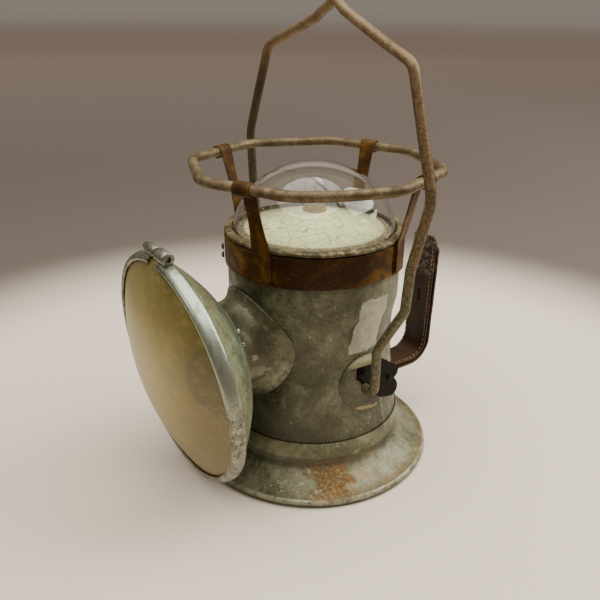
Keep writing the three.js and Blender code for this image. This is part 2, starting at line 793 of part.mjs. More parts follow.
const layer = GRIP_CORE / 2 + 0.3 + LEATHER / 2;
add('grip_core', gripCore(), 'steel');
add('grip_leather_inner', gripLeather(-layer, 59, GRIP_TOP[1]), 'leather');
add('grip_leather_outer', gripLeather(layer, 59, GRIP_TOP[1] - 4), 'leather');

// ---- battery and contacts -----------------------------------------------------------------------------------
const BATTERY_SIDE = 66;
const BATTERY_FOOT = 4.6;
const BATTERY_HEIGHT = 97;
const BOARD_HEIGHT = 113;

function battery() {
  const half = BATTERY_SIDE / 2;
  const corner = 7;
  const bevelEnabled = false;
  const outline = new THREE.Shape();
  outline.absarc(half - corner, half - corner, corner, 0, Math.PI / 2);
  outline.absarc(corner - half, half - corner, corner, Math.PI / 2, Math.PI);
  outline.absarc(corner - half, corner - half, corner, Math.PI, 1.5 * Math.PI);
  outline.absarc(half - corner, corner - half, corner, 1.5 * Math.PI, 2 * Math.PI);
  const cell = new THREE.ExtrudeGeometry(outline, { depth: BATTERY_HEIGHT, bevelEnabled, curveSegments: 4 });
  return welded(cell.translate(0, 0, BATTERY_FOOT));
}

class TerminalCoil extends THREE.Curve {
  getPoint(t) {
    const angle = 2 * Math.PI * 3 * t;
    const radius = 6 - 3 * t;
    const foot = BATTERY_FOOT + BATTERY_HEIGHT + 1.1;
    return new THREE.Vector3(radius * Math.cos(angle), radius * Math.sin(angle), foot + 8.4 * t);
  }
}

function terminal(across) {
  return wireAlong(new TerminalCoil(), 0.6, 30, 3).translate(across, across, 0);
}

function contactStrip(across) {
  return box([across - 7, across - 4, BOARD_HEIGHT - 1], [across + 7, across + 4, BOARD_HEIGHT - 0.3]);
}

add('battery_case', battery(), 'card');
add('contact_board', turned([[0, BOARD_HEIGHT], [48.8, BOARD_HEIGHT], [48.8, 115.5], [0, 115.5]]), 'bakelite');
[0, 21].forEach((across, i) => {
  add(`battery_terminal_${i + 1}`, terminal(across), 'brass');
  add(`contact_strip_${i + 1}`, contactStrip(across), 'brass');
});

// ---- switch on the back -------------------------------------------------------------------------------------
const SWITCH_ANGLE = 146;
const SWITCH_HEIGHT = 114.5;
const SWITCH_SEAT = 49.9; // half a sheet inside the body's wall

function switchKnob() {
  const knob = turned([[0, 4.3], [7.4, 4.3], [7.8, 5.2], [7.2, 9.4], [5.4, 10.6], [0, 10.6]], 24);
  const pointer = box([-1.4, -1.5, 10], [1.4, 7.6, 12]);
  return joined(knob, pointer);
}

const switchBushing = turned([[0, 0.9], [5.6, 0.9], [5.6, 2.2], [4.4, 4], [0, 4]], 20);
add('switch_bushing', onBody(switchBushing, SWITCH_SEAT, SWITCH_ANGLE, SWITCH_HEIGHT), 'brass');
add('switch_knob', onBody(switchKnob(), SWITCH_SEAT, SWITCH_ANGLE, SWITCH_HEIGHT), 'bakelite');

export default lantern;
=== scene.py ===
"""Looks for a railway inspector's battery hand lantern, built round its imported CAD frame.

Everything is in metres in the CAD's frame: +Z is up, the searchlight faces -Y, the leather grip is on +Y
and the bail's ears are on +X and -X. Lengths written in the script are millimetres times MM.
"""

import math

import bmesh
import bpy
from mathutils import Matrix, Vector, noise


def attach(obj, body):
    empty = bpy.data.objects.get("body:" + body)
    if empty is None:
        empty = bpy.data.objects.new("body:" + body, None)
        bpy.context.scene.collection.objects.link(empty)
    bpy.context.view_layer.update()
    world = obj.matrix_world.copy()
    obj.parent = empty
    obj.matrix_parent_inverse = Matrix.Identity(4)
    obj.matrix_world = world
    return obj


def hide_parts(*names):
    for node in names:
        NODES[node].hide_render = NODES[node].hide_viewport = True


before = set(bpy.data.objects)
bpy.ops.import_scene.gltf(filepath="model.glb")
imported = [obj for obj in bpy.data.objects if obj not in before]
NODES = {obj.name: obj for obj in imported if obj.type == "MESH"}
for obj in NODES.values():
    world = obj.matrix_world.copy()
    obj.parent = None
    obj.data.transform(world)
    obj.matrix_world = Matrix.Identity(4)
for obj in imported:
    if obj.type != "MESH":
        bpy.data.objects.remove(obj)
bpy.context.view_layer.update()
MM = 0.001

# ---- camera -------------------------------------------------------------------------------------------------
VIEW_AZIMUTH = math.radians(53.6)  # the camera stands this far round from -Y towards +X
VIEW_TURN = math.radians(54.8)
VIEW_PITCH = math.radians(23.9)
VIEW_ROLL = math.radians(0.52)
VIEW_REACH, VIEW_HEIGHT = 371.1 * MM, 260.6 * MM
LENS_MM, SENSOR_MM = 40.08, 36.0


def make_camera():
    data = bpy.data.cameras.new("camera")
    data.lens, data.sensor_width = LENS_MM, SENSOR_MM
    data.clip_start, data.clip_end = 0.01, 20
    camera = bpy.data.objects.new("camera", data)
    spot = Vector((math.sin(VIEW_AZIMUTH), -math.cos(VIEW_AZIMUTH), 0)) * VIEW_REACH
    turn = Matrix.Rotation(VIEW_TURN, 4, "Z") @ Matrix.Rotation(math.pi / 2 - VIEW_PITCH, 4, "X")
    camera.matrix_world = (
        Matrix.Translation(spot + Vector((0, 0, VIEW_HEIGHT))) @ turn @ Matrix.Rotation(VIEW_ROLL, 4, "Z")
    )
    bpy.context.scene.collection.objects.link(camera)
    bpy.context.scene.camera = camera


make_camera()


# ---- material toolkit ---------------------------------------------------------------------------------------
def srgb(red, green, blue):
    """A colour picked as 0 to 255 screen values, as the shader's linear colour."""
    return tuple((c / 255 / 12.92) if c < 10.3 else ((c / 255 + 0.055) / 1.055) ** 2.4 for c in (red, green, blue)) + (1,)


class Finish:
    """One procedural material: a Principled shader and the textures that feed it, in object space."""

    def __init__(self, name, roughness=0.5, metallic=0.0, **sockets):
        self.material = bpy.data.materials.new(name)
        self.material.use_nodes = True
        self.tree = self.material.node_tree
        self.shader = self.tree.nodes["Principled BSDF"]
        self.set(Roughness=roughness, Metallic=metallic, **sockets)
        self.place = self.node("ShaderNodeTexCoord").outputs["Object"]
        self.height = None

    def node(self, kind, **settings):
        made = self.tree.nodes.new(kind)
        for key, value in settings.items():
            setattr(made, key, value)
        return made

    def plug(self, socket, value):
        if isinstance(value, bpy.types.NodeSocket):
            self.tree.links.new(value, socket)
        else:
            socket.default_value = value

    def set(self, **sockets):
        for name, value in sockets.items():
            self.plug(self.shader.inputs[name.replace("_", " ")], value)
        return self

    def stretched(self, stretch, turn=(0, 0, 0)):
        mapping = self.node("ShaderNodeMapping")
        self.plug(mapping.inputs["Vector"], self.place)
        mapping.inputs["Scale"].default_value = stretch
        mapping.inputs["Rotation"].default_value = turn
        return mapping.outputs[0]

    def noise(self, size, detail=5, rough=0.6, warp=0.0, stretch=None, turn=(0, 0, 0), offset=0.0):
        """Cloudy noise from 0 to 1, with features about size millimetres across."""
        made = self.node("ShaderNodeTexNoise", noise_dimensions="4D")
        self.plug(made.inputs["Vector"], self.stretched(stretch, turn) if stretch else self.place)
        made.inputs["Scale"].default_value = 1 / (size * MM)
        made.inputs["Detail"].default_value = detail
        made.inputs["Roughness"].default_value = rough
        made.inputs["Distortion"].default_value = warp
        made.inputs["W"].default_value = offset
        return made.outputs["Fac"]

    def cells(self, size, feature="F1", jitter=1.0, vector=None):
        made = self.node("ShaderNodeTexVoronoi", feature=feature)
        self.plug(made.inputs["Vector"], vector or self.place)
        made.inputs["Scale"].default_value = 1 / (size * MM)
        made.inputs["Randomness"].default_value = jitter
        return made.outputs["Distance"]

    def warped(self, size, reach):
        """The object's own coordinates pushed about by noise, in millimetres."""
        push = self.node("ShaderNodeTexNoise")
        self.plug(push.inputs["Vector"], self.place)
        push.inputs["Scale"].default_value = 1 / (size * MM)
        scaled = self.node("ShaderNodeVectorMath", operation="SCALE")
        self.plug(scaled.inputs[0], push.outputs["Color"])
        scaled.inputs["Scale"].default_value = reach * MM
        total = self.node("ShaderNodeVectorMath", operation="ADD")
        self.plug(total.inputs[0], self.place)
        self.plug(total.inputs[1], scaled.outputs[0])
        return total.outputs[0]

    def span(self, value, low, high, smooth=True):
        """0 at low and 1 at high, clamped. low may be above high."""
        made = self.node("ShaderNodeMapRange", interpolation_type="SMOOTHSTEP" if smooth else "LINEAR")
        self.plug(made.inputs["Value"], value)
        made.inputs["From Min"].default_value = min(low, high)
        made.inputs["From Max"].default_value = max(low, high)
        made.inputs["To Min"].default_value = 0.0 if low < high else 1.0
        made.inputs["To Max"].default_value = 1.0 if low < high else 0.0
        return made.outputs[0]

    def calc(self, operation, first, second=0.0):
        made = self.node("ShaderNodeMath", operation=operation)
        self.plug(made.inputs[0], first)
        self.plug(made.inputs[1], second)
        return made.outputs[0]

    def times(self, *values):
        total = values[0]
        for value in values[1:]:
            total = self.calc("MULTIPLY", total, value)
        return total

    def axis(self, letter):
        split = self.node("ShaderNodeSeparateXYZ")
        self.plug(split.inputs[0], self.place)
        return split.outputs[letter]

    def azimuth(self):
        """Angle round +Z in degrees from +X."""
        return self.calc("MULTIPLY", self.calc("ARCTAN2", self.axis("Y"), self.axis("X")), math.degrees(1))

    def zone(self, value, low, high, edge):
        """1 between low and high, fading to 0 over edge."""
        return self.times(self.span(value, low - edge, low), self.span(value, high + edge, high))

    def ramp(self, value, *stops):
        made = self.node("ShaderNodeValToRGB")
        self.plug(made.inputs["Fac"], value)
        elements = made.color_ramp.elements
        while len(elements) < len(stops):
            elements.new(0.5)
        for element, (where, colour) in zip(elements, stops):
            element.position, element.color = where, colour
        return made.outputs["Color"]

    def mix(self, share, first, second, blend="MIX"):
        made = self.node("ShaderNodeMix", data_type="RGBA", blend_type=blend)
        self.plug(made.inputs["Factor"], share)
        self.plug(made.inputs[6], first)
        self.plug(made.inputs[7], second)
        return made.outputs[2]

    def blend(self, share, first, second):
        made = self.node("ShaderNodeMix", data_type="FLOAT")
        self.plug(made.inputs[0], share)
        self.plug(made.inputs[2], first)
        self.plug(made.inputs[3], second)
        return made.outputs[0]

    def bump(self, height, depth, strength=1.0):
        """Adds relief depth millimetres high on top of what is there."""
        made = self.node("ShaderNodeBump")
        self.plug(made.inputs["Height"], height)
        made.inputs["Distance"].default_value = depth * MM
        made.inputs["Strength"].default_value = strength
        if self.height is not None:
            self.plug(made.inputs["Normal"], self.height)
        self.height = made.outputs[0]
        self.plug(self.shader.inputs["Normal"], self.height)
        return self


# ---- finishes -----------------------------------------------------------------------------------------------
def patina(name, dark, middle, light, extra=None, seed=0.0, rough=(0.32, 0.6), metallic=0.35):
    """Old grey-olive tinplate: cloudy colour, patches, grit, specks and scratches, and what extra paints on top."""
    skin = Finish(name, metallic=metallic)
    cloud = skin.noise(26, 8, 0.66, 0.8, offset=seed)
    patches = skin.noise(6, 7, 0.7, 0.7, offset=seed + 5)
    grit = skin.noise(1.3, 4, 0.75, offset=seed + 3)
    base = skin.ramp(cloud, (0.32, dark), (0.5, middle), (0.7, light))
    base = skin.mix(skin.times(skin.span(patches, 0.52, 0.66), 0.5), base, light)
    base = skin.mix(skin.times(skin.span(patches, 0.47, 0.34), 0.6), base, dark)
    base = skin.mix(skin.times(skin.span(grit, 0.52, 0.74), 0.5), base, light)
    base = skin.mix(skin.times(skin.span(grit, 0.46, 0.3), 0.55), base, dark)
    for turn, stretch in (((0.5, 0.3, 0.2), (1, 1, 16)), ((-0.4, 0.6, 1.1), (14, 1, 1))):
        scratches = skin.noise(7, 2, 0.5, 0, stretch, turn, offset=seed + stretch[0])
        base = skin.mix(skin.times(skin.span(scratches, 0.67, 0.73), 0.45), base, PALE_SCRATCH)
    specks = skin.span(skin.cells(4.5, vector=skin.warped(4, 3)), 0.16, 0.08)
    base = skin.mix(skin.times(specks, 0.7), base, DARK_SPECK)
    flecks = skin.times(skin.span(skin.cells(8, vector=skin.warped(5, 5)), 0.1, 0.05), skin.span(cloud, 0.42, 0.5))
    base = skin.mix(skin.times(flecks, 0.7), base, PALE_SCRATCH)
    roughness = skin.blend(skin.span(patches, 0.35, 0.65), *rough)
    if extra:
        base, roughness = extra(skin, base, roughness)
    skin.set(Base_Color=base, Roughness=roughness)
    skin.bump(skin.noise(15, 5, 0.55, 0.4, offset=seed + 1), 0.6, 0.4)
    skin.bump(grit, 0.14, 0.4)
    return skin.material


def body_extra(skin, base, roughness):
    """A bare white patch beside the right ear, drip marks below the band, painted shadow low on the left under the
    searchlight, and darker at the foot and just under the band.
    """
    ragged = skin.calc("MULTIPLY", skin.calc("SUBTRACT", skin.noise(5, 6, 0.62), 0.5), 9)
    angle = skin.calc("ADD", skin.azimuth(), ragged)
    tall = skin.calc("ADD", skin.calc("MULTIPLY", skin.axis("Z"), 1 / MM), ragged)
    slanted = skin.calc("SUBTRACT", angle, skin.calc("MULTIPLY", tall, 0.23))
    patch = skin.times(skin.zone(slanted, -30, -6.5, 0.7), skin.zone(tall, 83, 113.5, 0.8))
    paint = skin.ramp(skin.noise(3, 6, 0.7), (0.3, srgb(136, 136, 116)), (0.6, srgb(172, 171, 152)))
    base = skin.mix(skin.times(patch, 0.95), base, paint)
    # Painted shadow low on the left, where the searchlight shades the body.
    painted_shadow_low_left = skin.times(skin.span(tall, 62, 34), skin.span(angle, -5, -35), 0.6)
    base = skin.mix(painted_shadow_low_left, base, srgb(50, 47, 30))
    streaks = skin.span(skin.noise(5, 5, 0.65, 0.3, (1, 1, 0.12)), 0.52, 0.68)
    right = skin.zone(angle, 14, 60, 8)
    base = skin.mix(skin.times(streaks, right, 0.55), base, srgb(158, 154, 128))
    # Darker at the foot and just under the band.
    darker_foot_and_under_band = skin.calc("MAXIMUM", skin.span(tall, 36, 28), skin.times(skin.span(tall, 119, 126), 0.7))
    base = skin.mix(skin.times(darker_foot_and_under_band, 0.55), base, srgb(50, 46, 30))
    return base, roughness


def base_extra(skin, base, roughness):
    """Rust bloomed on the front of the flare, pale flecks beside it, a tan line inside the rim, darker in the corner,
    painted light on the right, painted shade on the left and under the rim, and a painted highlight along the rim's
    top.
    """
    z = skin.calc("MULTIPLY", skin.axis("Z"), 1 / MM)
    spread = skin.noise(13, 8, 0.74, 0.8, offset=4)
    drift = skin.calc("MULTIPLY", skin.calc("SUBTRACT", spread, 0.5), 50)
    angle = skin.calc("ADD", skin.azimuth(), drift)
    fine = skin.noise(2.0, 6, 0.78, offset=8)
    # Darker in the corner above the flare.
    corner = skin.times(skin.zone(z, 14.5, 18.5, 2.0), 0.6)
    base = skin.mix(corner, base, srgb(44, 40, 26))
    # Painted light on the right side of the flare.
    painted_light_right = skin.times(skin.zone(angle, 0, 60, 20), skin.zone(z, 5, 15, 2), skin.span(spread, 0.4, 0.6), 0.45)
    base = skin.mix(painted_light_right, base, srgb(142, 142, 114))
    shadowed = skin.times(skin.span(angle, -45, -62), 0.3)
    base = skin.mix(shadowed, base, srgb(58, 56, 36))
    stain = skin.times(skin.zone(angle, -34, 4, 10), skin.zone(z, 5.2, 17, 2.5), 0.5)
    base = skin.mix(skin.times(stain, skin.span(spread, 0.4, 0.56)), base, srgb(112, 88, 50))
    bloom = skin.times(skin.zone(angle, -34, -17, 4), skin.zone(z, 5.4, 13, 3))
    islands = skin.noise(7, 8, 0.8, 0.6, offset=12)
    rust = skin.ramp(fine, (0.32, srgb(82, 54, 22)), (0.5, srgb(124, 86, 38)), (0.66, srgb(196, 168, 112)))
    base = skin.mix(skin.times(bloom, skin.span(islands, 0.42, 0.56), 0.88), base, rust)
    pale = skin.times(skin.zone(angle, -56, -34, 4), skin.zone(z, 6.4, 9.0, 0.8), skin.span(fine, 0.54, 0.62))
    base = skin.mix(skin.times(pale, 0.8), base, srgb(184, 182, 152))
    line = skin.times(skin.zone(z, 4.9, 5.9, 0.5), skin.span(skin.noise(5, 7, 0.75, offset=2), 0.42, 0.58))
    base = skin.mix(skin.times(line, skin.zone(angle, 0, 80, 12), 0.85), base, srgb(118, 92, 42))
    # Painted highlight along the top of the rolled rim.
    painted_sheen = skin.times(skin.zone(z, 3.3, 4.6, 0.5), skin.span(skin.noise(6, 6, 0.7, offset=5), 0.4, 0.56))
    base = skin.mix(skin.times(painted_sheen, 0.8), base, srgb(160, 158, 134))
    # Painted shade under the rolled rim.
    base = skin.mix(skin.times(skin.span(z, 3.0, 1.6), 0.8), base, srgb(44, 42, 30))
    scuffs = skin.noise(3, 6, 0.75, 0.6, (1, 1, 0.35), offset=6)
    base = skin.mix(skin.times(skin.span(scuffs, 0.57, 0.66), skin.zone(z, 0, 15, 1), 0.45), base, srgb(176, 174, 146))
    return base, skin.blend(bloom, roughness, 0.85)


def bowl_extra(skin, base, roughness):
    """Tan grit worn into the bowl next to the bezel, cleaner grey-green towards the neck."""
    grain = skin.noise(1.9, 6, 0.8, 0.5, offset=5)
    y = skin.calc("MULTIPLY", skin.axis("Y"), -1 / MM)
    drift = skin.calc("ADD", y, skin.calc("MULTIPLY", skin.noise(12, 5, 0.6, offset=3), 16))
    belt = skin.span(drift, 84, 92)
    share = skin.times(skin.span(grain, 0.44, 0.58), belt)
    colour = skin.ramp(skin.noise(0.9, 3, 0.6, offset=9), (0.4, srgb(102, 82, 42)), (0.6, srgb(156, 142, 98)))
    return skin.mix(skin.times(share, 0.75), base, colour), skin.blend(share, roughness, 0.85)


def neck_extra(skin, base, roughness):
    """A pale painted reflection low on the side away from the searchlight."""
    z = skin.calc("MULTIPLY", skin.axis("Z"), 1 / MM)
    x = skin.calc("MULTIPLY", skin.axis("X"), 1 / MM)
    cloud = skin.noise(7, 6, 0.65, 0.6, offset=3)
    # Painted reflection: paler low on the side away from the searchlight.
    painted_sheen = skin.times(skin.zone(z, 62, 76, 6), skin.span(x, 6, 18), skin.span(cloud, 0.38, 0.6))
    return skin.mix(skin.times(painted_sheen, 0.75), base, srgb(150, 148, 124)), roughness


OLIVE_DARK, OLIVE, OLIVE_LIGHT = srgb(46, 45, 29), srgb(81, 80, 58), srgb(130, 130, 106)
PALE_SCRATCH, DARK_SPECK = srgb(172, 170, 146), srgb(38, 34, 20)


def ear_extra(skin, base, roughness):
    """Painted highlight on the cup's upper shoulder, a painted contact shadow round its outer edge, and bare rusty
    metal along its torn lower rim.
    """
    z = skin.calc("MULTIPLY", skin.axis("Z"), 1 / MM)
    y = skin.calc("MULTIPLY", skin.axis("Y"), 1 / MM)
    grain = skin.noise(2.6, 6, 0.7)
    # Painted highlight: the cup's upward-facing shoulder drawn lighter, as if lit from above.
    upper = skin.times(skin.span(z, 73.5, 75.5), skin.span(grain, 0.3, 0.5))
    base = skin.mix(skin.times(upper, 0.85), base, srgb(152, 144, 104))
    # Painted contact shadow: a dark ring round the cup's outer edge, below the shoulder.
    off_y, off_z = skin.calc("SUBTRACT", y, 0.85), skin.calc("SUBTRACT", z, 61.8)
    square = skin.calc("ADD", skin.calc("MULTIPLY", off_y, off_y), skin.calc("MULTIPLY", off_z, off_z))
    outline = skin.times(skin.span(square, 262, 296), skin.span(z, 75, 72), 0.75)
    base = skin.mix(outline, base, srgb(34, 29, 18))
    ragged = skin.calc("ADD", z, skin.calc("MULTIPLY", grain, 5))
    low = skin.times(skin.span(ragged, 52.5, 50), skin.span(y, -9, -3))
    bare = skin.ramp(skin.noise(1.4, 5, 0.75, offset=3), (0.36, srgb(96, 72, 44)), (0.6, srgb(196, 180, 142)))
    return skin.mix(low, base, bare), skin.blend(upper, roughness, 0.7)


def galvanized():
    """The globe's ring: zinc gone brown and crusty."""
    skin = Finish("galvanized", metallic=0.4)
    mottle = skin.noise(5.5, 7, 0.72, 0.8)
    colour = skin.ramp(mottle, (0.34, srgb(48, 36, 16)), (0.5, srgb(98, 86, 54)), (0.68, srgb(168, 158, 120)))
    side = skin.zone(skin.azimuth(), -60, 10, 25)
    colour = skin.mix(skin.times(side, skin.span(mottle, 0.62, 0.4), 0.6), colour, srgb(46, 34, 14))
    skin.set(Base_Color=colour, Roughness=skin.blend(mottle, 0.4, 0.75))
    skin.bump(mottle, 0.4, 0.6)
    return skin.material


def rusted_strip():
    """Brown lacquer-like rust, golden where it is worn, nearly black where it is thick, and darker across the front of
    the band.
    """
    skin = Finish("rusted_strip", metallic=0.1, Specular_IOR_Level=0.15)
    cloud = skin.noise(15, 6, 0.62, 0.8)
    colour = skin.ramp(cloud, (0.3, srgb(36, 18, 3)), (0.5, srgb(70, 44, 9)), (0.68, srgb(124, 88, 26)))
    smears = skin.noise(6, 5, 0.6, 0.5, (1, 1, 3.5), offset=2)
    colour = skin.mix(skin.times(skin.span(smears, 0.56, 0.7), 0.5), colour, srgb(122, 88, 34))
    # Darker across the front of the band.
    front = skin.times(skin.zone(skin.azimuth(), -55, -5, 14), skin.zone(skin.axis("Z"), 0.115, 0.1425, 0.002))
    colour = skin.mix(skin.times(front, 0.7), colour, srgb(36, 15, 2))
    flecks = skin.noise(1.6, 5, 0.75, offset=4)
    colour = skin.mix(skin.times(skin.span(flecks, 0.56, 0.72), 0.5), colour, srgb(140, 106, 50))
    colour = skin.mix(skin.times(skin.span(flecks, 0.44, 0.3), 0.6), colour, srgb(22, 11, 3))
    skin.set(Base_Color=colour, Roughness=skin.blend(flecks, 0.3, 0.7))
    skin.bump(cloud, 0.4, 0.3)
    skin.bump(flecks, 0.2, 0.5)
    return skin.material


def guard_wire():
    """The guard's steel wire: mottled dark brown-grey with pale and dark flecks."""
    skin = Finish("guard_wire", metallic=0.5)
    spots = skin.noise(8, 7, 0.7, 0.8, offset=5)
    grain = skin.noise(1.2, 5, 0.75)
    colour = skin.ramp(spots, (0.36, srgb(66, 48, 24)), (0.5, srgb(102, 86, 58)), (0.64, srgb(132, 116, 86)))
    colour = skin.mix(skin.times(skin.span(grain, 0.48, 0.32), 0.6), colour, srgb(36, 26, 12))
    colour = skin.mix(skin.times(skin.span(grain, 0.56, 0.7), 0.35), colour, srgb(176, 164, 134))
    skin.set(Base_Color=colour, Roughness=skin.blend(grain, 0.35, 0.7))
    skin.bump(grain, 0.24, 0.6)
    skin.bump(skin.noise(4, 4, 0.6), 0.35, 0.4)
    return skin.material


def bail_wire():
    """The bail's steel: grey-olive at the legs, brown rust towards the top, worn tan at the peak."""
    skin = Finish("bail_wire", metallic=0.45)
    z = skin.calc("MULTIPLY", skin.axis("Z"), 1 / MM)
    x = skin.axis("X")
    spots = skin.noise(9, 7, 0.7, 0.8)
    grain = skin.noise(1.3, 5, 0.75)
    grey = skin.ramp(grain, (0.35, srgb(50, 46, 28)), (0.5, srgb(92, 88, 62)), (0.66, srgb(140, 136, 108)))
    brown = skin.ramp(grain, (0.35, srgb(60, 44, 22)), (0.5, srgb(100, 78, 48)), (0.66, srgb(140, 116, 82)))
    height = skin.calc("ADD", skin.span(z, 130, 190, False), skin.times(skin.span(x, 0.0, -0.02), -0.35))
    rusting = skin.calc("ADD", spots, skin.calc("MULTIPLY", height, 0.28))
    colour = skin.mix(skin.span(rusting, 0.5, 0.68), grey, brown)
    left = skin.times(skin.span(x, -0.01, -0.03), skin.span(z, 236, 215), 0.6)
    colour = skin.mix(left, colour, srgb(52, 42, 24))
    top = skin.times(skin.span(z, 222, 250), skin.span(spots, 0.35, 0.6))
    colour = skin.mix(skin.times(top, 0.55), colour, srgb(160, 136, 104))
    skin.set(Base_Color=colour, Roughness=skin.blend(grain, 0.36, 0.7))
    skin.bump(grain, 0.24, 0.55)
    skin.bump(spots, 0.4, 0.35)
    return skin.material


def nickel():
    """Worn nickel plate: clean on the upper right, grey and full of black pits at the foot and the upper left."""
    skin = Finish("nickel", metallic=0.92)
    z = skin.calc("MULTIPLY", skin.axis("Z"), 1 / MM)
    x = skin.calc("MULTIPLY", skin.axis("X"), 1 / MM)
    drift = skin.calc("MULTIPLY", skin.calc("SUBTRACT", skin.noise(14, 5, 0.6), 0.5), 44)
    clean = skin.times(skin.span(skin.calc("ADD", z, drift), 72, 98), skin.span(x, 8, 26))
    crowd = skin.span(skin.noise(8, 5, 0.65, offset=6), 0.4, 0.58)
    wear = skin.calc("SUBTRACT", 1.0, skin.times(clean, 0.8))
    pits = skin.times(skin.span(skin.cells(1.3, vector=skin.warped(3, 1.6)), 0.4, 0.22), crowd, wear)
    line = skin.span(skin.noise(2.4, 6, 0.8, 0.6, offset=2), 0.55, 0.68)
    dull = skin.ramp(skin.noise(4, 6, 0.65), (0.35, srgb(92, 90, 74)), (0.6, srgb(160, 160, 142)))
    colour = skin.mix(clean, dull, srgb(164, 171, 154))
    colour = skin.mix(skin.times(line, wear, 0.45), colour, srgb(96, 88, 62))
    smudges = skin.noise(5, 6, 0.7, 0.8, (1, 1, 0.3), offset=9)
    colour = skin.mix(skin.times(skin.span(smudges, 0.5, 0.64), 0.5), colour, srgb(74, 74, 62))
    colour = skin.mix(skin.times(pits, 0.9), colour, srgb(44, 38, 24))
    skin.set(Base_Color=colour, Roughness=skin.blend(clean, 0.44, 0.33))
    skin.bump(pits, -0.25, 0.8)
    skin.bump(skin.noise(9, 4, 0.5), 0.35, 0.3)
    return skin.material


def enamel():
    """Cream enamel with a web of fine brown cracks and dirt at its rim."""
    skin = Finish("enamel", roughness=0.22, Coat_Weight=0.5, Coat_Roughness=0.1)
    web = skin.cells(8, "DISTANCE_TO_EDGE", vector=skin.warped(8, 4.5))
    fine = skin.cells(3.4, "DISTANCE_TO_EDGE", vector=skin.warped(5, 2.5))
    fade = skin.span(skin.noise(16, 4, 0.6), 0.36, 0.54)
    cracks = skin.calc("MAXIMUM", skin.span(web, 0.022, 0.006), skin.times(skin.span(fine, 0.024, 0.006), fade))
    cloud = skin.noise(14, 5, 0.6)
    cream = skin.ramp(cloud, (0.35, srgb(242, 248, 174)), (0.65, srgb(253, 255, 200)))
    radius = skin.node("ShaderNodeVectorMath", operation="LENGTH")
    flat = skin.stretched((1, 1, 0))
    skin.plug(radius.inputs[0], flat)
    ragged = skin.calc("MULTIPLY", skin.noise(3, 5, 0.7), 3)
    far = skin.calc("ADD", skin.calc("MULTIPLY", radius.outputs["Value"], 1 / MM), ragged)
    dirt = skin.ramp(skin.noise(1.6, 5, 0.75, offset=2), (0.35, srgb(92, 78, 40)), (0.6, srgb(186, 178, 138)))
    cream = skin.mix(skin.span(far, 41, 42.6), cream, dirt)
    skin.set(Base_Color=skin.mix(skin.times(cracks, 0.8), cream, srgb(112, 100, 62)))
    skin.bump(cracks, -0.1, 0.5)
    return skin.material


def clear_glass(name="clear_glass", tint=(1, 1, 1, 1), rough=0.0):
    skin = Finish(name, roughness=rough, Base_Color=tint, Transmission_Weight=1.0, IOR=1.36)
    smear = skin.noise(18, 5, 0.6, 0.8)
    skin.set(Roughness=skin.blend(skin.span(smear, 0.5, 0.7), rough, rough + 0.03))
    skin.bump(skin.noise(16, 3, 0.5), 0.12, 0.25)
    return skin.material


def lens_glass():
    """Pressed glass gone hazy and amber on the inside, with painted reflections: darker ones at its right edge, a paler
    grey one at the left, and a low yellow glint.
    """
    skin = Finish("lens_glass", Transmission_Weight=0.0, IOR=1.45, Coat_Weight=0.25, Coat_Roughness=0.3)
    z = skin.calc("MULTIPLY", skin.axis("Z"), 1 / MM)
    x = skin.calc("MULTIPLY", skin.axis("X"), 1 / MM)
    cloud = skin.noise(34, 6, 0.6, 0.6)
    wander = skin.calc("MULTIPLY", skin.calc("SUBTRACT", cloud, 0.5), 30)
    tall = skin.calc("ADD", z, wander)
    across = skin.calc("ADD", x, wander)
    colour = skin.ramp(
        skin.span(tall, 17, 138, False),
        (0.0, srgb(126, 106, 30)),
        (0.25, srgb(146, 126, 36)),
        (0.5, srgb(176, 156, 84)),
        (0.7, srgb(160, 144, 78)),
        (1.0, srgb(104, 96, 46)),
    )
    # Darker towards the right and paler towards the left.
    colour = skin.mix(skin.times(skin.span(across, 0, 50), 0.75), colour, srgb(84, 72, 24))
    colour = skin.mix(skin.times(skin.span(across, 10, -50), 0.3), colour, srgb(156, 144, 96))

    def painted_reflection(centre_x, centre_z, width, tallness, soft):
        far_x = skin.calc("MULTIPLY", skin.calc("SUBTRACT", x, centre_x), 1 / width)
        far_z = skin.calc("MULTIPLY", skin.calc("SUBTRACT", z, centre_z), 1 / tallness)
        square = skin.calc("ADD", skin.calc("MULTIPLY", far_x, far_x), skin.calc("MULTIPLY", far_z, far_z))
        return skin.span(skin.calc("ADD", square, skin.calc("MULTIPLY", wander, 0.04)), 1.0 + soft, 1.0 - soft)

    # Painted reflections: darker ones at the upper right and lower right, a paler grey one at the lower left, and a
    # yellow glint low down.
    colour = skin.mix(skin.times(painted_reflection(57, 98, 19, 19, 0.22), 0.6), colour, srgb(84, 78, 40))
    colour = skin.mix(skin.times(painted_reflection(24, 30, 22, 13, 0.6), 0.5), colour, srgb(88, 72, 24))
    colour = skin.mix(skin.times(painted_reflection(-38, 48, 12, 16, 0.7), 0.35), colour, srgb(128, 126, 88))
    colour = skin.mix(skin.times(painted_reflection(-15, 25, 9, 6, 0.9), 0.85), colour, srgb(222, 196, 92))
    smear = skin.noise(9, 7, 0.7, 0.8, (1, 1, 1.6), (0.3, 0, 0))
    colour = skin.mix(skin.times(skin.span(smear, 0.46, 0.7), 0.22), colour, srgb(196, 178, 120))
    colour = skin.mix(skin.times(skin.span(smear, 0.46, 0.3), 0.25), colour, srgb(104, 90, 44))
    skin.set(Base_Color=colour, Roughness=skin.blend(smear, 0.3, 0.5))
    skin.bump(cloud, 0.6, 0.2)
    return skin.material


def silver():
    skin = Finish("silver", metallic=1.0)
    tarnish = skin.noise(18, 5, 0.6, 0.5)
    colour = skin.ramp(tarnish, (0.3, srgb(176, 150, 92)), (0.7, srgb(220, 206, 164)))
    skin.set(Base_Color=colour, Roughness=skin.blend(tarnish, 0.16, 0.3))
    return skin.material


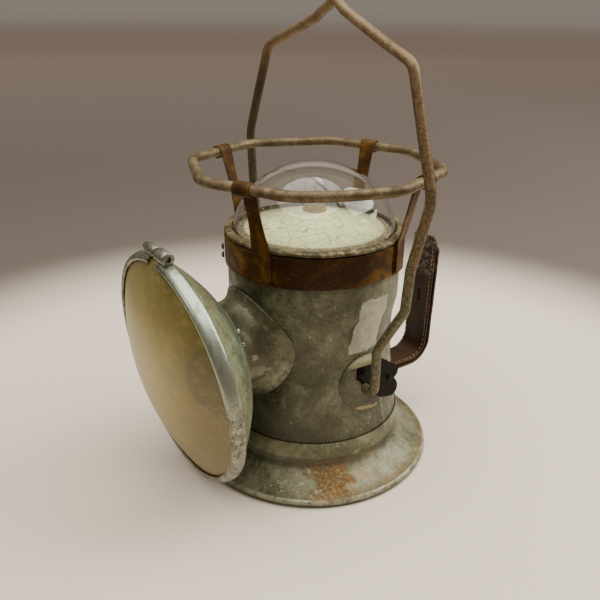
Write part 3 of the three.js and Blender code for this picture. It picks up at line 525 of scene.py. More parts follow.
def brass():
    skin = Finish("brass", metallic=0.9)
    cloud = skin.noise(3, 5, 0.6)
    skin.set(
        Base_Color=skin.ramp(cloud, (0.35, srgb(150, 124, 44)), (0.65, srgb(214, 188, 88))),
        Roughness=skin.blend(cloud, 0.28, 0.5),
    )
    skin.bump(cloud, 0.1, 0.3)
    return skin.material


def dark_steel():
    skin = Finish("dark_steel", metallic=0.1, Specular_IOR_Level=0.12)
    cloud = skin.noise(4, 6, 0.65)
    skin.set(
        Base_Color=skin.ramp(cloud, (0.4, srgb(7, 5, 3)), (0.7, srgb(28, 21, 11))),
        Roughness=skin.blend(cloud, 0.4, 0.65),
    )
    skin.bump(cloud, 0.2, 0.4)
    return skin.material


def leather(name="leather"):
    """Dark brown strap leather: pebbled grain, creases across the bend, scuffs near the top, painted shade low down,
    tan at the bend.
    """
    skin = Finish(name, Specular_IOR_Level=0.3)
    z = skin.calc("MULTIPLY", skin.axis("Z"), 1 / MM)
    pebble = skin.cells(1.1, vector=skin.warped(2, 0.8))
    creases = skin.noise(3, 4, 0.6, 0.8, (0.35, 1, 1.6))
    cloud = skin.noise(13, 6, 0.62, 0.5)
    colour = skin.ramp(cloud, (0.32, srgb(24, 14, 6)), (0.5, srgb(46, 27, 9)), (0.7, srgb(74, 42, 12)))
    low = skin.calc("ADD", z, skin.calc("MULTIPLY", cloud, 14))
    # Painted shade: darker low down on the strap, towards the bend.
    colour = skin.mix(skin.times(skin.span(low, 70, 54), 0.8), colour, srgb(42, 20, 2))
    colour = skin.mix(skin.times(skin.span(low, 50, 44), 0.5), colour, srgb(78, 50, 16))
    scuff = skin.times(skin.zone(z, 98, 118, 6), skin.span(skin.noise(4, 8, 0.75, 1.0, offset=2), 0.48, 0.56))
    colour = skin.mix(skin.times(scuff, 0.75), colour, srgb(120, 110, 92))
    wear = skin.span(creases, 0.62, 0.72)
    colour = skin.mix(skin.times(wear, 0.4), colour, srgb(96, 66, 40))
    skin.set(Base_Color=colour, Roughness=skin.blend(cloud, 0.4, 0.62))
    skin.bump(pebble, 0.22, 0.5)
    skin.bump(creases, 0.5, 0.45)
    return skin.material


def plain(name, dark, light, size=3, roughness=(0.45, 0.7), metallic=0.0):
    """A quiet two-tone finish for pieces out of sight or very small."""
    skin = Finish(name, metallic=metallic)
    cloud = skin.noise(size, 5, 0.6)
    skin.set(
        Base_Color=skin.ramp(cloud, (0.35, dark), (0.65, light)),
        Roughness=skin.blend(cloud, *roughness),
    )
    skin.bump(cloud, 0.1, 0.3)
    return skin.material


LOOKS = {
    "body": patina("body_tin", OLIVE_DARK, OLIVE, OLIVE_LIGHT, body_extra),
    "base": patina("base_tin", srgb(66, 64, 42), srgb(102, 100, 74), srgb(152, 152, 124), base_extra, 2.0),
    "neck": patina("neck_tin", srgb(52, 49, 31), srgb(84, 81, 58), srgb(132, 130, 104), neck_extra, 5.0, (0.34, 0.55)),
    "bowl": patina("bowl_tin", srgb(80, 89, 66), srgb(110, 121, 95), srgb(152, 165, 138), bowl_extra, 8.0),
    "ear": patina("ear_tin", srgb(40, 38, 27), srgb(71, 68, 52), srgb(124, 119, 98), ear_extra, 11.0),
    "galvanized": galvanized(),
    "strip": rusted_strip(),
    "guard": guard_wire(),
    "bail": bail_wire(),
    "nickel": nickel(),
    "enamel": enamel(),
    "glass": clear_glass(),
    "lens": lens_glass(),
    "silver": silver(),
    "brass": brass(),
    "dark_steel": dark_steel(),
    "leather": leather(),
    "thread": plain("waxed_thread", srgb(96, 84, 66), srgb(146, 130, 104), 1.5),
    "rubber": plain("rubber", srgb(20, 19, 18), srgb(40, 38, 35)),
    "bakelite": plain("bakelite", srgb(34, 20, 13), srgb(64, 40, 26), 6, (0.25, 0.4)),
    "battery": plain("battery_card", srgb(40, 48, 60), srgb(66, 76, 92), 20),
    "solder": plain("solder", srgb(170, 168, 158), srgb(226, 224, 214), 2, (0.15, 0.3), 1.0),
    "tungsten": plain("tungsten", srgb(120, 112, 100), srgb(170, 160, 150), 1, (0.3, 0.4), 1.0),
}

CAD_LOOKS = {
    "base": ["bottom_cover"],
    "strip": ["band_rivet_1", "band_rivet_2"],
    "nickel": ["bezel_clamp_screw"],
    "brass": [
        "signal_socket", "signal_bulb_cap", "searchlight_socket", "searchlight_bulb_cap", "battery_terminal_1",
        "battery_terminal_2", "contact_strip_1", "contact_strip_2", "switch_bushing",
    ],
    "dark_steel": [
        "ear_plate_right", "ear_plate_left", "ear_rivet_right_1", "ear_rivet_right_2", "ear_rivet_left_1",
        "ear_rivet_left_2", "grip_core",
    ],
    "rubber": ["lens_gasket", "battery_pad"],
    "bakelite": ["contact_board", "switch_knob"],
    "battery": ["battery_case"],
}
SHARP_ANGLE = math.radians(32)


def dress_cad(name, look):
    """Gives a CAD node its finish and smooth shading, with its real edges kept sharp."""
    node = NODES[name]
    node.data.materials.clear()
    node.data.materials.append(LOOKS[look])
    if node.data.has_custom_normals:
        with bpy.context.temp_override(object=node, active_object=node, selected_objects=[node]):
            bpy.ops.mesh.customdata_custom_splitnormals_clear()
    node.data.polygons.foreach_set("use_smooth", [True] * len(node.data.polygons))
    node.modifiers.new("weld", "WELD").merge_threshold = 0.01 * MM
    node.modifiers.new("edges", "EDGE_SPLIT").split_angle = SHARP_ANGLE


for look, names in CAD_LOOKS.items():
    for name in names:
        dress_cad(name, look)


# ---- mesh toolkit -------------------------------------------------------------------------------------------
def piece(name, mesh, look, body, replaced=()):
    made = bpy.data.objects.new(name, mesh)
    bpy.context.scene.collection.objects.link(made)
    mesh.materials.append(LOOKS[look])
    mesh.polygons.foreach_set("use_smooth", [True] * len(mesh.polygons))
    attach(made, body)
    if replaced:
        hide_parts(*replaced)
    return made


def mesh_of(name, points, faces):
    mesh = bpy.data.meshes.new(name)
    mesh.from_pydata(points, [], faces)
    mesh.validate()
    tidy = bmesh.new()
    tidy.from_mesh(mesh)
    bmesh.ops.recalc_face_normals(tidy, faces=tidy.faces)
    tidy.to_mesh(mesh)
    tidy.free()
    return mesh


def bevelled(made, width, segments=2, angle=35):
    bevel = made.modifiers.new("bevel", "BEVEL")
    bevel.width, bevel.segments = width * MM, segments
    bevel.limit_method, bevel.angle_limit = "ANGLE", math.radians(angle)
    return made


def sharpened(made, angle=40):
    made.modifiers.new("edges", "EDGE_SPLIT").split_angle = math.radians(angle)
    return made


def lathe(name, outline, facets=144, start=0.0, sweep=360.0, place=Matrix.Identity(4)):
    """Turns a closed outline of [radius, height] in millimetres about +Z. A part turn gets end caps."""
    full = sweep >= 360
    turns = facets if full else facets + 1
    points, faces, rows = [], [], []
    for radius, height in outline:
        row = []
        for i in range(1 if radius < 1e-6 else turns):
            angle = math.radians(start + sweep * i / facets)
            row.append(len(points))
            points.append(place @ Vector((radius * math.cos(angle) * MM, radius * math.sin(angle) * MM, height * MM)))
        rows.append(row)
    closed = outline[0][0] > 1e-6 or outline[-1][0] > 1e-6
    for k in range(len(rows) if closed else len(rows) - 1):
        a, b = rows[k], rows[(k + 1) % len(rows)]
        for i in range(facets):
            j = (i + 1) % turns
            ring = [a[i % len(a)], a[j % len(a)], b[j % len(b)], b[i % len(b)]]
            face = list(dict.fromkeys(ring))
            if len(face) > 2:
                faces.append(face)
    if not full:
        faces += [[row[0] for row in rows], [row[-1] for row in rows]]
    return mesh_of(name, points, faces)


def tube(name, path, radius, sides=20, closed=False, swell=None):
    """Round wire along a list of points, with a frame carried along so that it never twists."""
    count = len(path)
    tangents = []
    for i in range(count):
        before = path[(i - 1) % count] if closed or i else path[0]
        after = path[(i + 1) % count] if closed or i < count - 1 else path[-1]
        tangents.append((after - before).normalized())
    side = tangents[0].orthogonal().normalized()
    points, faces = [], []
    for i, (centre, along) in enumerate(zip(path, tangents)):
        side = (side - along * side.dot(along)).normalized()
        across = along.cross(side)
        reach = radius * (swell(i / count) if swell else 1)
        for k in range(sides):
            angle = 2 * math.pi * k / sides
            points.append(centre + (side * math.cos(angle) + across * math.sin(angle)) * reach)
    for i in range(count if closed else count - 1):
        j = (i + 1) % count
        for k in range(sides):
            m = (k + 1) % sides
            faces.append([i * sides + k, i * sides + m, j * sides + m, j * sides + k])
    if not closed:
        faces += [list(range(sides)), list(range((count - 1) * sides, count * sides))]
    return mesh_of(name, points, faces)


def rounded(corners, closed=False, step=1.2):
    """Straight runs in millimetres with each corner eased by its own radius. corners: (point, radius)."""
    path, count = [], len(corners)
    pieces = []
    for i, (point, radius) in enumerate(corners):
        if not closed and i in (0, count - 1):
            pieces.append([point])
            continue
        before = (corners[i - 1][0] - point).normalized()
        after = (corners[(i + 1) % count][0] - point).normalized()
        trim = radius / math.tan(before.angle(after) / 2)
        enter, leave = point + before * trim, point + after * trim
        bend = []
        for k in range(11):
            t = k / 10
            bend.append(enter * (1 - t) ** 2 + point * 2 * t * (1 - t) + leave * t**2)
        pieces.append(bend)
    for i, bend in enumerate(pieces):
        path += bend
        if closed or i < count - 1:
            end = pieces[(i + 1) % count][0]
            run = end - bend[-1]
            for k in range(1, int(run.length / step)):
                path.append(bend[-1] + run * k / int(run.length / step))
    return path


def wobbled(path, size, reach, seed):
    """Pushes points about by smooth noise, in millimetres, as hand-bent wire wanders."""
    return [p + noise.noise_vector(p / size + Vector((seed, 0, 0))) * reach for p in path]


def metres(path):
    return [p * MM for p in path]


def eased(points, steps=5):
    """A smooth line through a list of (radius, height) points."""
    spots = [Vector(p) for p in (points[0], *points, points[-1])]
    line = []
    for p0, p1, p2, p3 in zip(spots, spots[1:], spots[2:], spots[3:]):
        for k in range(steps):
            t = k / steps
            bend = p1 * 2 + (p2 - p0) * t + (p0 * 2 - p1 * 5 + p2 * 4 - p3) * t**2 + (p1 * 3 - p0 - p2 * 3 + p3) * t**3
            line.append(tuple(bend / 2))
    return [*line, tuple(points[-1])]


def skinned(outer, sheet=0.8):
    """A closed outline for sheet metal: the outer line and an inner one a sheet's thickness inside it."""
    return [*outer, *((radius - sheet, height) for radius, height in reversed(outer))]


def cut_away(made, *tools):
    """Takes closed shapes out of a piece and keeps the result as its plain mesh."""
    cutters = []
    for tool in tools:
        cutter = bpy.data.objects.new("cutter", tool)
        bpy.context.scene.collection.objects.link(cutter)
        modifier = made.modifiers.new("cut", "BOOLEAN")
        modifier.operation, modifier.solver, modifier.object = "DIFFERENCE", "EXACT", cutter
        cutters.append(cutter)
    result = bpy.data.meshes.new_from_object(made.evaluated_get(bpy.context.evaluated_depsgraph_get()))
    made.modifiers.clear()
    made.data = result
    for cutter in cutters:
        bpy.data.objects.remove(cutter)


def slab_mesh(name, outline, low, high):
    """A flat drawing of (across, up) points in millimetres, stood upright with its thickness along X."""
    points = [(x * MM, y * MM, z * MM) for x in (low, high) for y, z in outline]
    count = len(outline)
    sides = [[i, (i + 1) % count, count + (i + 1) % count, count + i] for i in range(count)]
    return mesh_of(name, points, [list(range(count)), list(range(count, 2 * count)), *sides])


def arc(centre, radius, start, end, steps):
    angles = [math.radians(start + (end - start) * i / steps) for i in range(steps + 1)]
    return [(centre[0] + radius * math.cos(a), centre[1] + radius * math.sin(a)) for a in angles]


# ---- body and base ------------------------------------------------------------------------------------------
LIGHT_HEIGHT = 87.4
DROOP = math.radians(5.8)
BEAM = Matrix.Translation((0, 0, LIGHT_HEIGHT * MM)) @ Matrix.Rotation(math.pi / 2 + DROOP, 4, "X")
NECK_BORE = 25.4
BODY_CURVE = [
    (53.4, 30.6), (52.2, 37), (50.8, 46), (49.5, 57), (48.4, 68), (47.7, 82), (48, 92), (49, 98.6), (50.2, 104.5),
    (50.4, 110),
]
BODY_LINE = [(53.4, 17), *eased(BODY_CURVE), (50.4, 141.3)]
FLARE = [(66.2, 7.2), (60.4, 10.4), (57.2, 13), (55.2, 15.2), (54.6, 16.6)]


def make_body():
    made = piece("body", lathe("body", skinned(BODY_LINE), 160), "body", "case", ["body_shell"])
    cut_away(made, lathe("bore", [(0, 20), (NECK_BORE, 20), (NECK_BORE, 70), (0, 70)], 96, place=BEAM))
    sharpened(made)


def make_base():
    rim = arc((71.8, 2.6), 2.5, 200, 455, 20)
    outer = [*rim, *eased(FLARE), (54.6, 29.2), (54.3, 29.7)]
    inner = [(53.8, 29.5), (53.8, 16), *eased([(55.4, 13.7), (59.8, 9.6), (65.8, 6.3), (69.2, 4.0)])]
    sharpened(piece("base", lathe("base", outer + inner, 180), "base", "case", ["base_skirt"]))


make_body()
make_base()


# ---- searchlight --------------------------------------------------------------------------------------------
LENS_RADIUS, LENS_SPHERE, LENS_THICKNESS, LENS_SEAT = 64.2, 142.6, 3.0, 90.6
LIP_RADIUS, LIP_FRONT = 61.0, 95.3
CLAMP_REACH, CLAMP_DEPTH = 68.6, 91.0


def lens_front(radius):
    drop = math.sqrt(LENS_SPHERE**2 - LIP_RADIUS**2)
    return LIP_FRONT - 0.9 + math.sqrt(LENS_SPHERE**2 - radius**2) - drop


def body_radius(height):
    line = [BODY_LINE[0], *BODY_CURVE, BODY_LINE[-1]]
    for (low_radius, low), (high_radius, high) in zip(line, line[1:]):
        if height <= high:
            return low_radius + (high_radius - low_radius) * (height - low) / (high - low)
    return line[-1][0]


def wall_depth(x, y, clearance=0.4):
    """How far along the beam a line at (x, y) off the beam's axis leaves the body's wall."""
    depth = body_radius(LIGHT_HEIGHT)
    for _ in range(5):
        height = LIGHT_HEIGHT + y * math.cos(DROOP) - depth * math.sin(DROOP)
        reach = math.sqrt((body_radius(height) + clearance) ** 2 - x**2)
        depth = (reach - y * math.sin(DROOP)) / math.cos(DROOP)
    return depth


def make_neck():
    """A tube that flares out onto the body's curved wall in one smooth sweep with a thin soldered edge."""
    facets = 144
    flare = eased([(32.5, 0.35), (32.3, 0.75), (30.8, 1.15), (28.8, 2.3), (27.3, 4.1), (26.5, 6.6)], 4)
    hugging = [(NECK_BORE, 0.0), (27.8, 0.0), (30.2, 0.0), (32.5, 0.0), *flare]
    free = [(26.2, 60), (26.6, 60.9), (27.6, 61.7), (29, 62.2), (29, 62.95), (NECK_BORE, 62.95)]
    points, faces = [], []
    for k, (radius, depth) in enumerate([*hugging, *free]):
        for i in range(facets):
            angle = 2 * math.pi * i / facets
            x, y = radius * math.cos(angle), radius * math.sin(angle)
            along = wall_depth(x, y) + depth if k < len(hugging) else depth
            points.append(BEAM @ (Vector((x, y, along)) * MM))
    rings = len(hugging) + len(free)
    for k in range(rings):
        here, ahead = k * facets, (k + 1) % rings * facets
        faces += [[here + i, here + (i + 1) % facets, ahead + (i + 1) % facets, ahead + i] for i in range(facets)]
    sharpened(piece("neck", mesh_of("neck", points, faces), "neck", "case", ["neck_tube"]), 50)


def make_bowl():
    outer = eased([(29.6, 63.3), (36, 66.2), (44, 70.6), (51, 75.6), (57, 80.6), (61.4, 85.2), (63.2, 88.1)])
    inner = eased([(62.2, 89.1), (60.4, 85.6), (56.2, 81.3), (50.2, 76.3), (43.4, 71.4), (35.6, 67), (29.4, 64.1)])
    outline = [(NECK_BORE, 63.3), *outer, (63.5, 88.3), (65.2, 88.3), (65.2, 89.1), *inner, (NECK_BORE, 64.1)]
    mesh = lathe("bowl", outline, 180, place=BEAM)
    sharpened(piece("bowl", mesh, "bowl", "case", ["searchlight_bowl"]))


def make_mirror():
    """Silvered parabola behind the bulb."""
    vertex, focus, sheet = 59.0, 28.5, 0.8
    radii = [7.6 + (58.5 - 7.6) * i / 24 for i in range(25)]
    back = [(r, vertex + r**2 / (4 * focus)) for r in radii]
    front = [(r, depth + sheet) for r, depth in back]
    outline = [*front, (60.8, front[-1][1]), (60.8, back[-1][1]), *reversed(back)]
    mesh = lathe("mirror", outline, 144, place=BEAM)
    sharpened(piece("mirror", mesh, "silver", "case", ["searchlight_mirror"]))


def make_lens():
    radii = [60 * i / 24 for i in range(25)]
    front = [(r, lens_front(r)) for r in radii] + [(62.4, lens_front(62.4)), (LENS_RADIUS, lens_front(LENS_RADIUS))]
    back = [(r, lens_front(r) - LENS_THICKNESS) for r in reversed(radii)]
    outline = front + [(LENS_RADIUS, LENS_SEAT), (LIP_RADIUS, LENS_SEAT)] + back
    piece("searchlight_lens", lathe("searchlight_lens", outline, place=BEAM), "lens", "bezel", ["lens_glass"])


def make_bezel():
    """Rolled ring, split at the top beside the clamp; its two clamp barrels are made by clamp_barrel."""
    outer = [(65.6, 88.0), (66.1, 87.9), (66.6, 88.2), (66.8, 89.2), (66.8, 90.6), (66.6, 92.0), (66.2, 93.2)]
    nose = [(65.7, 94.2), (65.0, 94.95), (64.2, 95.35), (63.4, 95.4), (62.7, 95.1), (62.3, 94.6)]
    inner = [(62.6, 94.3), (63.4, 94.2), (64.2, 93.8), (65.0, 92.8), (65.4, 91.4), (65.55, 90.0), (65.6, 88.6)]
    gap = 4.6
    mesh = lathe("bezel", outer + nose + inner, 168, 90 + gap, 360 - 2 * gap - 1, BEAM)
    bevelled(piece("bezel", mesh, "nickel", "bezel", ["bezel_ring"]), 0.15, 2, 60)


def clamp_barrel(name, radius, start, end, slot_end=False):
    """A short turned sleeve beside the split, along the clamp's own axis."""
    outline = [
        (1.6, start), (radius - 0.5, start), (radius, start + 0.5), (radius, end - 0.5), (radius - 0.5, end), (1.6, end),
    ]
    along = Matrix.Translation((0, CLAMP_REACH * MM, CLAMP_DEPTH * MM)) @ Matrix.Rotation(math.pi / 2, 4, "Y")
    mesh = lathe(name, outline, 40, place=BEAM @ along)
    sharpened(piece(name, mesh, "nickel", "bezel"), 50)


make_neck()
make_bowl()
make_mirror()
make_lens()
make_bezel()
clamp_barrel("clamp_barrel_large", 3.5, 2.8, 13.6)
clamp_barrel("clamp_barrel_small", 2.9, -9.6, 0.4)


# ---- glass globe and bulbs ----------------------------------------------------------------------------------
def arch(radius, rise, centre, foot, steps=36):
    start = math.asin((foot - centre) / rise)
    angles = [start + (math.pi / 2 - start) * i / steps for i in range(steps + 1)]
    line = [(radius * math.cos(a), centre + rise * math.sin(a)) for a in angles]
    line[-1] = (0.0, line[-1][1])
    return line


def make_globe():
    outer = arch(47.3, 41.5, 139, 142.4)
    inner = arch(46.3, 40.5, 139, 142.4)
    outline = list(reversed(inner)) + outer
    piece("signal_globe", lathe("signal_globe", outline, 160), "glass", "signal_head", ["globe_glass"])


def make_globe_ring():
    bead = arc((50.6, 143.2), 1.2, -80, 90, 12)
    neck = [(38.5, 140.8), (48.3, 140.8), (48.3, 133.5), (49.2, 133.5), (49.2, 141.7)]
    seat = [(49.4, 144.75), (48.4, 144.9), (47.7, 144.5), (47.7, 141.9), (38.5, 141.9)]
    mesh = lathe("globe_collar", neck + bead + seat, 160)
    made = piece("globe_collar", mesh, "galvanized", "signal_head", ["globe_ring"])
    for v in made.data.vertices:
        if v.co.z > 142 * MM:
            v.co.z += noise.noise(v.co / (5 * MM)) * 0.16 * MM
    sharpened(made)


def make_reflector():
    """Enamelled steel dish, shallow and dished down to a flat rim."""
    top = eased([(5.3, 153), (12, 151.9), (20, 149.8), (28, 147.3), (35, 145.1), (40.4, 143.6), (44.2, 143.05)])
    under = eased([(44.2, 142.35), (40.4, 142.5), (35, 143.8), (28, 146), (20, 148.5), (12, 150.6), (5.3, 151.7)])
    mesh = lathe("reflector", [*top, (44.5, 142.9), (44.5, 142.5), *under], 160)
    sharpened(piece("reflector", mesh, "enamel", "signal_head", ["enamel_reflector"]))


make_globe_ring()
make_reflector()

BULB_WALL = 0.5


def bulb(name, outline, body, node, place=Matrix.Identity(4)):
    """A blown bulb: a thin glass skin over a given outside."""
    inner = [(max(r - BULB_WALL, 0), h - (BULB_WALL if r < BULB_WALL else 0)) for r, h in reversed(outline)]
    inner[0] = (0.0, outline[-1][1] - BULB_WALL)
    shape = lathe(name, [(outline[0][0] - BULB_WALL, outline[0][1])] + outline + inner[:-1], 64, place=place)
    piece(name, shape, "glass", body, [node])


def filament(name, low, high, half, body, place=Matrix.Identity(4)):
    """Two support wires and a fine coil between their tips, in one mesh."""
    builder = bmesh.new()
    for side in (-1, 1):
        mesh = tube("lead", metres([Vector((side * half * 0.5, 0, low)), Vector((side * half, 0, high))]), 0.25 * MM, 8)
        builder.from_mesh(mesh)
    turns = [
        Vector((-half + 2 * half * i / 90, 0.5 * math.cos(i * 0.9), high + 0.5 * math.sin(i * 0.9))) for i in range(91)
    ]
    builder.from_mesh(tube("coil", metres(turns), 0.1 * MM, 6))
    mesh = bpy.data.meshes.new(name)
    builder.to_mesh(mesh)
    builder.free()
    mesh.transform(place)
    piece(name, mesh, "tungsten", body)


make_globe()
bulb(
    "signal_bulb",
    [(3.6, 157.2), (4.0, 159), (4.9, 161), (5.9, 163.4), (6.3, 165.6), (6.2, 167.6), (5.5, 169.6), (4.2, 171.4),
     (2.4, 172.4), (0.0, 172.7)],
    "signal_bulb",
    "signal_bulb_glass",
)
filament("signal_filament", 157.5, 166, 2.2, "signal_bulb")
bulb(
    "searchlight_bulb",
    [(4.4, 66.8), (4.8, 69), (5.8, 72), (7.4, 76), (8.1, 79), (8.1, 82), (7.3, 85.4), (5.8, 88), (3.4, 89.9), (0.0, 90.5)],
    "searchlight_bulb",
    "searchlight_bulb_glass",
    BEAM,
)
filament("searchlight_filament", 67, 81, 2.8, "searchlight_bulb", BEAM)


# ---- wire guard ---------------------------------------------------------------------------------------------
GUARD_HEIGHT, GUARD_APOTHEM, GUARD_WIRE = 178.9, 66.2, 2.8
POST_ANGLES = (22.5, 112.5, 202.5, 292.5)
FOOT_TURNS = (6, 0, 0, 0)
POST_WAISTS = (0, 0.22, 0.22, 0.22)
BAND_RADIUS, BAND_FOOT, BAND_TOP, BAND_SHEET = 51.9, 124.1, 141.5, 1.1
BAND_SPLIT, SPLIT_WIDTH = 20.7, 1.7


def make_band():
    """A steel hoop whose ends meet beside the first post, its lower edge eaten a little by rust."""
    half = math.degrees(SPLIT_WIDTH / 2 / BAND_RADIUS)
    low = [(BAND_RADIUS, BAND_FOOT + (BAND_TOP - BAND_FOOT) * i / 8) for i in range(9)]
    outline = skinned(low, BAND_SHEET)
    mesh = lathe("band", outline, 176, BAND_SPLIT + half, 360 - 2 * half)
    for v in mesh.vertices:
        low_share = max(0, 1 - (v.co.z / MM - BAND_FOOT) / 4)
        v.co.z += low_share * abs(noise.noise(v.co / (9 * MM))) * 0.7 * MM
    bevelled(piece("band", mesh, "strip", "case", ["guard_band"]), 0.3, 2)


def polar(radius, degrees, height):
    angle = math.radians(degrees)
    return Vector((radius * math.cos(angle), radius * math.sin(angle), height))


def make_guard_ring():
    corner = GUARD_APOTHEM / math.cos(math.pi / 8)
    corners = [(polar(corner, 45 * i, GUARD_HEIGHT), 22) for i in range(8)]
    path = wobbled(rounded(corners, closed=True), 30, 0.5, 3.0)
    mesh = tube("guard_wire", metres(path), GUARD_WIRE * MM, 20, closed=True)
    piece("guard_wire", mesh, "guard", "case", ["guard_ring"])


def strip_solid(name, line, widths, thickness, absent=(), columns=8):
    """A bent strip: line holds (reach, height) points in millimetres, widths its width at each of them.
    absent(row, column) leaves cells out, for slots."""
    rows, points, faces = len(line), [], []
    normals = []
    for i in range(rows):
        before, after = Vector(line[max(i - 1, 0)]), Vector(line[min(i + 1, rows - 1)])
        along = (after - before).normalized()
        normals.append(Vector((along.y, -along.x)))
    for side in (0.5, -0.5):
        for i in range(rows):
            for k in range(columns + 1):
                across = widths[i] * (k / columns - 0.5)
                spot = Vector(line[i]) + normals[i] * thickness * side
                points.append((across * MM, spot.x * MM, spot.y * MM))
    back = rows * (columns + 1)

    def there(i, k):
        return 0 <= i < rows - 1 and 0 <= k < columns and not (absent and absent(i, k))

    def at(i, k):
        return i * (columns + 1) + k

    for i in range(rows - 1):
        for k in range(columns):
            if not there(i, k):
                continue
            loop = [at(i, k), at(i, k + 1), at(i + 1, k + 1), at(i + 1, k)]
            faces.append(loop)
            faces.append([p + back for p in reversed(loop)])
            borders = [((i - 1, k), 0, 1), ((i, k + 1), 1, 2), ((i + 1, k), 2, 3), ((i, k - 1), 3, 0)]
            for (ni, nk), p, q in borders:
                if not there(ni, nk):
                    faces.append([loop[q], loop[p], loop[p] + back, loop[q] + back])
    mesh = mesh_of(name, points, faces)
    loose = bmesh.new()
    loose.from_mesh(mesh)
    bmesh.ops.delete(loose, geom=[v for v in loose.verts if not v.link_faces], context="VERTS")
    loose.to_mesh(mesh)
    loose.free()
    return mesh


def make_post(number, degrees):
    """Flat steel post: flush on the band, leaning out, then wrapped round the guard's wire."""
    thickness, clearance = 0.9, 0.12
    reach = BAND_RADIUS + 0.35 + thickness / 2
    wrap = GUARD_WIRE + clearance + thickness / 2
    foot, centre = (reach, 143.5), (GUARD_APOTHEM, GUARD_HEIGHT)
    dx, dz = centre[0] - foot[0], centre[1] - foot[1]
    start = math.degrees(math.atan2(dz, dx) + math.asin(wrap / math.hypot(dx, dz))) + 90
    low = [(reach, 124.5 + i) for i in range(18)]
    eased = [(reach + 0.02, 142.6), (reach + 0.25, 143.9), (reach + 0.75, 145.4)]
    curl = arc(centre, wrap, start, start - 262, 26)
    last = Vector(eased[-1])
    run = Vector(curl[0]) - last
    lean = [tuple(last + run * i / 22) for i in range(1, 22)]
    line = low + eased + lean + curl
    wrap_height = curl[0][1]

    def risen(height):
        return min(1, max(0, (height - foot[1]) / (wrap_height - foot[1])))

    widths = []
    for i, (_, height) in enumerate(line):
        share = risen(height) if i < len(line) - len(curl) else 1
        waver = 0.4 * noise.noise(Vector((i * 0.25, number, 0)))
        waist = POST_WAISTS[number - 1] * math.sin(math.pi * share)
        widths.append(12 * (1 - 0.17 * share - waist) + waver)
    mesh = strip_solid(f"post_{number}", line, widths, thickness)
    for v in mesh.vertices:
        turn = math.radians(FOOT_TURNS[number - 1] * (1 - risen(v.co.z / MM)))
        v.co.rotate(Matrix.Rotation(turn, 3, "Z"))
    mesh.transform(Matrix.Rotation(math.radians(degrees - 90), 4, "Z"))
    made = piece(f"post_{number}", mesh, "strip", "case", [f"guard_post_{number}"])
    bevelled(made, 0.35, 2)


make_band()
make_guard_ring()
for number, degrees in enumerate(POST_ANGLES, 1):
    make_post(number, degrees)


# ---- bail ---------------------------------------------------------------------------------------------------
PIVOT_HEIGHT, BAIL_LEAN, BAIL_WIRE = 60.5, math.radians(3), 2.7
RIGHT_LEG = [
    (50.4, 0, 0), (59.6, 0, 4.6), (58.2, 25.5, 9), (75.8, 56.5, 9), (75.9, 79.5, 14), (84.8, 116.5, 22),
    (62.2, 175.3, 11), (9, 197.4, 6),
]
LEFT_LEG = [
    (-50.4, 0, 0), (-59.6, 0, 4.6), (-58.2, 25.5, 9), (-72.6, 56.5, 9), (-72.6, 81.5, 14), (-81, 123.5, 22),
    (-61.6, 177.8, 11), (-15, 193.8, 8),
]
PEAK = (0.6, 202.8, 4)


def make_bail():
    corners = []
    for across, up, radius in [*RIGHT_LEG, PEAK, *reversed(LEFT_LEG)]:
        point = Vector((across, up * math.sin(BAIL_LEAN), PIVOT_HEIGHT + up * math.cos(BAIL_LEAN)))
        corners.append((point, radius))
    path = rounded(corners)
    loose = wobbled(path, 34, 0.7, 9.0)
    calm = [p.lerp(q, min(1, max(0, (p.z - 75) / 25))) for p, q in zip(path, loose)]
    piece("bail_handle", tube("bail_handle", metres(calm), BAIL_WIRE * MM), "bail", "bail", ["bail"])


make_bail()

EAR_CENTRE = Vector((52.8, 0.85, 61.8))
EAR_TURN = math.radians(14)
EAR_CUP = [
    (0, 0), (14.2, 0), (16, -0.7), (17.2, -2.1), (17.8, -4.2), (17.8, -15), (17, -15), (17, -4.2), (16.5, -2.6),
    (15.5, -1.4), (14, -0.8), (0, -0.8),
]
EAR_TEAR = [
    (-11, 73.2), (-5.8, 74.7), (1, 75.7), (6.7, 76.5), (7.6, 84), (30, 84), (30, 45.7), (11.9, 45.7), (8.6, 47.9),
    (6.1, 49), (6.3, 52), (4.7, 55.8), (1.6, 57.6), (-2.1, 59.9), (-2.5, 62.6), (-3.5, 65.2), (-6.8, 67.4), (-9.1, 70.7),
]
EAR_MOUTH = [(6.5, 46.5), (30, 46.5), (30, 84), (6.5, 84)]


def make_ear(side, mirror):
    """Pressed cup, torn open towards the back. mirror is -1 for the left one."""
    flip = Matrix.Diagonal((mirror, 1, 1, 1))
    turn = Matrix.Rotation(-EAR_TURN, 4, "Z") @ Matrix.Rotation(math.pi / 2, 4, "Y")
    cup = lathe(f"ear_{side}", EAR_CUP, 96, place=flip @ Matrix.Translation(EAR_CENTRE * MM) @ turn)
    hole = tube("hole", metres([Vector((40, 0, PIVOT_HEIGHT)), Vector((60, 0, PIVOT_HEIGHT))]), (BAIL_WIRE + 0.4) * MM, 40)
    tear = slab_mesh("tear", EAR_TEAR, 50.4, 64)
    mouth = slab_mesh("mouth", EAR_MOUTH, 40, 64)
    for tool in (hole, tear, mouth):
        tool.transform(flip)
        if mirror < 0:
            tool.flip_normals()
    core = lathe("core", [(0, 17), *((r + 0.35, h) for r, h in BODY_LINE), (0, 141.3)], 160)
    made = piece(f"ear_{side}", cup, "ear", "case", [f"bail_ear_{side}"])
    cut_away(made, hole, tear, mouth, core)
    sharpened(made, 30)


make_ear("right", 1)
make_ear("left", -1)

